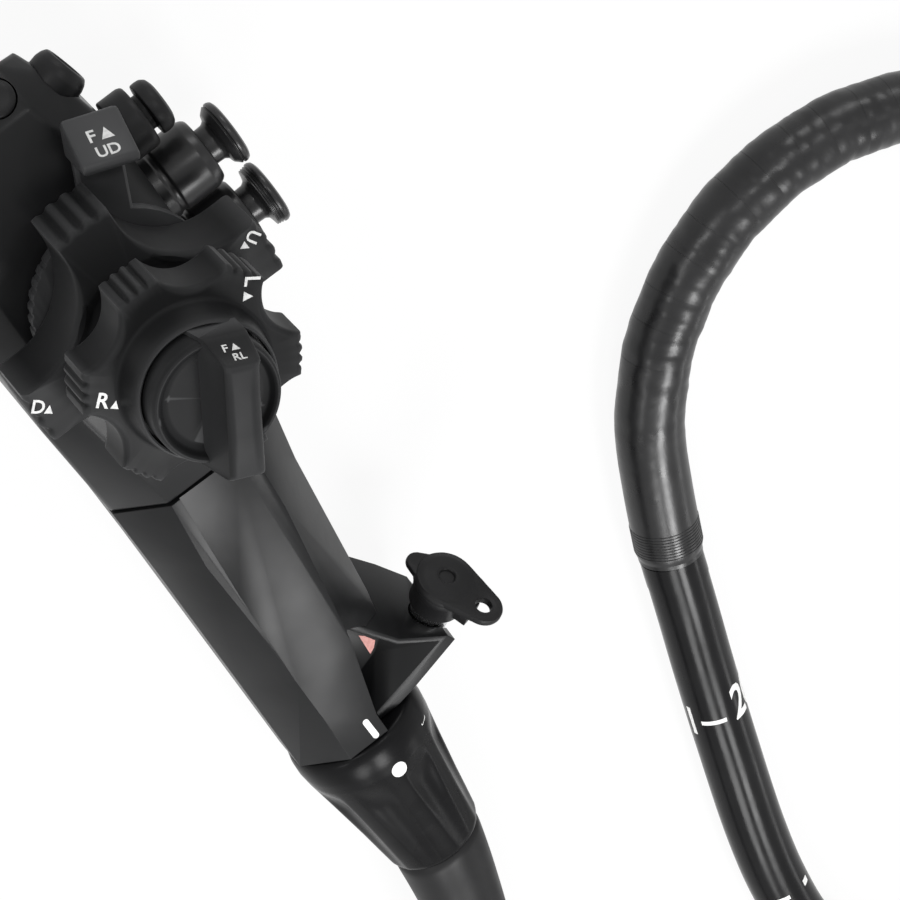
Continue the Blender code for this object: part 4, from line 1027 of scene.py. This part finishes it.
SOFT_EDGES = {
    "control_housing": 0.5, "back_cover": 0.5, "grip_front_shell": 0.3, "grip_back_shell": 0.3,
    "channel_branch": 0.3, "ud_brake_lever": 0.45, "remote_switch_3": 0.2, "cord_gland": 0.3,
    "channel_port": 0.15, "valve_seat": 0.25, "distal_tip": 0.25, "knob_column": 0.2,
}


def finish_nodes():
    """Give every solid its finish, steel where no other is named."""
    for name, obj in frame["nodes"].items():
        material = FINISHES.get(name, STEEL)
        if not obj.material_slots:
            obj.data.materials.append(material)
        for held in obj.material_slots:
            held.material = material


def soft_edged(name, width):
    """A copy of a solid with its edges rounded and its curved walls shaded smooth."""
    node = frame["nodes"][name]
    material = FINISHES.get(name, STEEL)
    mesh = node.data.copy()
    obj = placed(name + "_moulding", mesh)
    bm = bmesh.new()
    bm.from_mesh(mesh)
    bmesh.ops.remove_doubles(bm, verts=bm.verts, dist=0.000002)
    bmesh.ops.dissolve_limit(bm, angle_limit=radians(0.6), verts=bm.verts, edges=bm.edges)
    edges = [e for e in bm.edges if len(e.link_faces) == 2 and e.calc_face_angle(0.0) > radians(38.0)]
    bmesh.ops.bevel(bm, geom=edges, offset=width * MM, segments=2, profile=0.5, affect="EDGES",
                    clamp_overlap=True)
    bm.to_mesh(mesh)
    bm.free()
    finish_mesh(obj, 20.0 if name.startswith(("grip", "control")) else 34.0)
    mesh.materials.clear()
    mesh.materials.append(material)
    settle(obj, material, node["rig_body"], name)


def make_mouldings():
    """Every outer solid that keeps its shape, with softened edges."""
    for name, width in SOFT_EDGES.items():
        soft_edged(name, width)


# Printed marks on the handle


def flat_mark(parts, centre, right, up):
    """Place flat outlines on a plane, as a thin raised print."""
    right, up = Vector(right).normalized(), Vector(up).normalized()
    out = right.cross(up)
    verts, faces = merged(parts)
    return [spot(*(Vector(centre) + right * x + up * y + out * (z + INK_LIFT))) for x, y, z in verts], faces


def flat_word(text, cap, x, y):
    """One short word, its lower left corner at x and y."""
    return taken(letters(text, cap), lambda point: (point.x / MM + x, point.y / MM + y, point.z / MM))


def flat_shape(outline, thickness=INK):
    """A flat outline as a thin solid."""
    count = len(outline)
    half = thickness / 2
    verts = [(x, y, -half) for x, y in outline] + [(x, y, half) for x, y in outline]
    faces = [tuple(reversed(range(count))), tuple(range(count, 2 * count))]
    for k in range(count):
        n = (k + 1) % count
        faces.append((k, n, n + count, k + count))
    return verts, faces


def arrow(size, x, y):
    """A small triangle that points up."""
    return flat_shape(((x - size / 2, y), (x + size / 2, y), (x, y + size)))


def make_knob_marks():
    """Direction letters with their arrows on the two knobs."""
    for name, letter, centre, angle, cap, body in (
            ("mark_up", "U", (23.9, 3.4, 55.0), -151.0, 2.5, "up_down_control"),
            ("mark_down", "D", (-24.3, 2.6, 55.0), -43.0, 2.6, "up_down_control"),
            ("mark_left", "L", (17.4, 7.9, 74.2), -128.0, 2.9, "right_left_control"),
            ("mark_right", "R", (-15.3, 7.3, 74.2), -45.0, 2.9, "right_left_control")):
        turn = radians(angle)
        right, up = (cos(turn), sin(turn), 0.0), (-sin(turn), cos(turn), 0.0)
        parts = [flat_word(letter, cap, -cap * 0.36, -cap / 2), arrow(cap * 0.62, cap * 0.95, -cap / 2)]
        piece(name, flat_mark(parts, centre, right, up), PRINT, body, 20.0)


def slope_mark(name, angle, reach, height, slope, words, body, sideways=0.0):
    """Two rows of marks on a face that leans outwards at an angle round the column."""
    turn = radians(angle)
    outward = Vector((cos(turn), sin(turn), 0.0))
    tangent = Vector((-sin(turn), cos(turn), 0.0))
    climb = (-outward * slope[0] + Vector((0, 0, 1)) * slope[1]).normalized()
    centre = outward * reach + tangent * sideways + Vector((0, 0, height))
    piece(name, flat_mark(words, centre, -tangent, -climb), PRINT, body, 20.0)


def make_brake_marks():
    """Free-direction marks on the brake lever's tab and on the dial's fin."""
    tab = [flat_word("F", 2.6, -2.3, 0.4), arrow(2.4, 1.3, 0.4), flat_word("UD", 2.3, -2.0, -3.0)]
    slope_mark("mark_lever", 68.0, 33.1, 44.65, (5.7, 9.2), tab, "up_down_brake")
    fin = [flat_word("F", 1.7, -2.1, 0.3), arrow(1.5, 0.2, 0.35), flat_word("RL", 1.6, -1.0, -1.9)]
    slope_mark("mark_fin", FIN_ANGLE, 10.62, 89.5, (2.2, 5.0), fin, "right_left_brake", -2.2)


def rounded_bar(length, width, steps=6):
    """Outline of a bar with round ends along x."""
    half, radius = length / 2 - width / 2, width / 2
    points = []
    for centre, start in ((half, -90.0), (-half, 90.0)):
        for k in range(steps + 1):
            turn = radians(start + 180.0 * k / steps)
            points.append((centre + radius * cos(turn), radius * sin(turn)))
    return tuple(points)


def ring_patch(outline, angle, y):
    """A flat outline wrapped on the stiffness ring at an angle in degrees and a distance."""
    radius = 14.15
    verts, faces = flat_shape(outline)
    wrapped = []
    for u, v, w in verts:
        turn = radians(angle) - u / radius
        reach = radius + INK_LIFT + w
        wrapped.append(spot(RING_X + reach * cos(turn), y + v, RING_Z + reach * sin(turn)))
    return wrapped, faces


def make_grip_marks():
    """White index line on the grip, index dot and tick on the ring."""
    down = Vector((0.03, -1.0, -0.075)).normalized()
    up = Vector((0, 0, 1)).cross(down)
    line = flat_mark([flat_shape(rounded_bar(5.6, 1.3))], (-9.0, -114.6, 31.55), down, up)
    piece("index_line", line, BRIGHT_PRINT, ROOT, 20.0)
    dot = ring_patch(rounded_bar(3.3, 3.2, 10), 85.0, -126.2)
    tick = ring_patch(rounded_bar(2.6, 0.8), 40.0, -124.0)
    piece("ring_marks", merged([dot, tick]), BRIGHT_PRINT, "stiffness_dial", 20.0)


def make_pink_patch():
    """Plain pink patch on the floor of the branch's recess."""
    outline = ((0.25, -103.6), (1.1, -104.5), (2.3, -106.9), (1.3, -108.1), (0.0, -108.8))
    verts, faces = flat_shape(outline, 0.08)
    piece("pink_patch", ([spot(x, y, 20.05 + z) for x, y, z in verts], faces), PATCH_PAINT, ROOT, 20.0)


# Assembly


def make_insertion_end():
    """Tube, covers and marks; the tube's own three solids are hidden."""
    route = Route(tube_route())
    tube = piece("insertion_tube", route.tube(TUBE_R, TUBE_SIDES), SHEATH, ROOT, 60.0)
    marks = make_tube_marks(route)
    passive = make_passive_cover()
    covers = make_bending_covers() + [make_thread_binding(), make_tube_sleeve()]
    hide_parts("tube_lead", "tube_coil", "tube_reach")
    path = [tuple(spot(*p)) for p in route.points[::3]] + [tuple(spot(*route.points[-1]))]
    tip = [frame["nodes"][n] for n in ("objective_lens", "light_lens_a", "light_lens_b", "air_water_nozzle")]
    tip.append(bpy.data.objects["distal_tip_moulding"])


make_camera()
finish_nodes()
make_knobs()
make_dial()
make_ring()
make_boot()
make_valve("suction", 4.2, "suction_valve", 1)
make_valve("airwater", -10.9, "airwater_valve", 3)
make_switches()
make_lid()
make_mouldings()
make_insertion_end()
make_knob_marks()
make_brake_marks()
make_grip_marks()
make_pink_patch()
make_floor()
make_world()
make_light()
bpy.context.scene.view_settings.view_transform = "Standard"
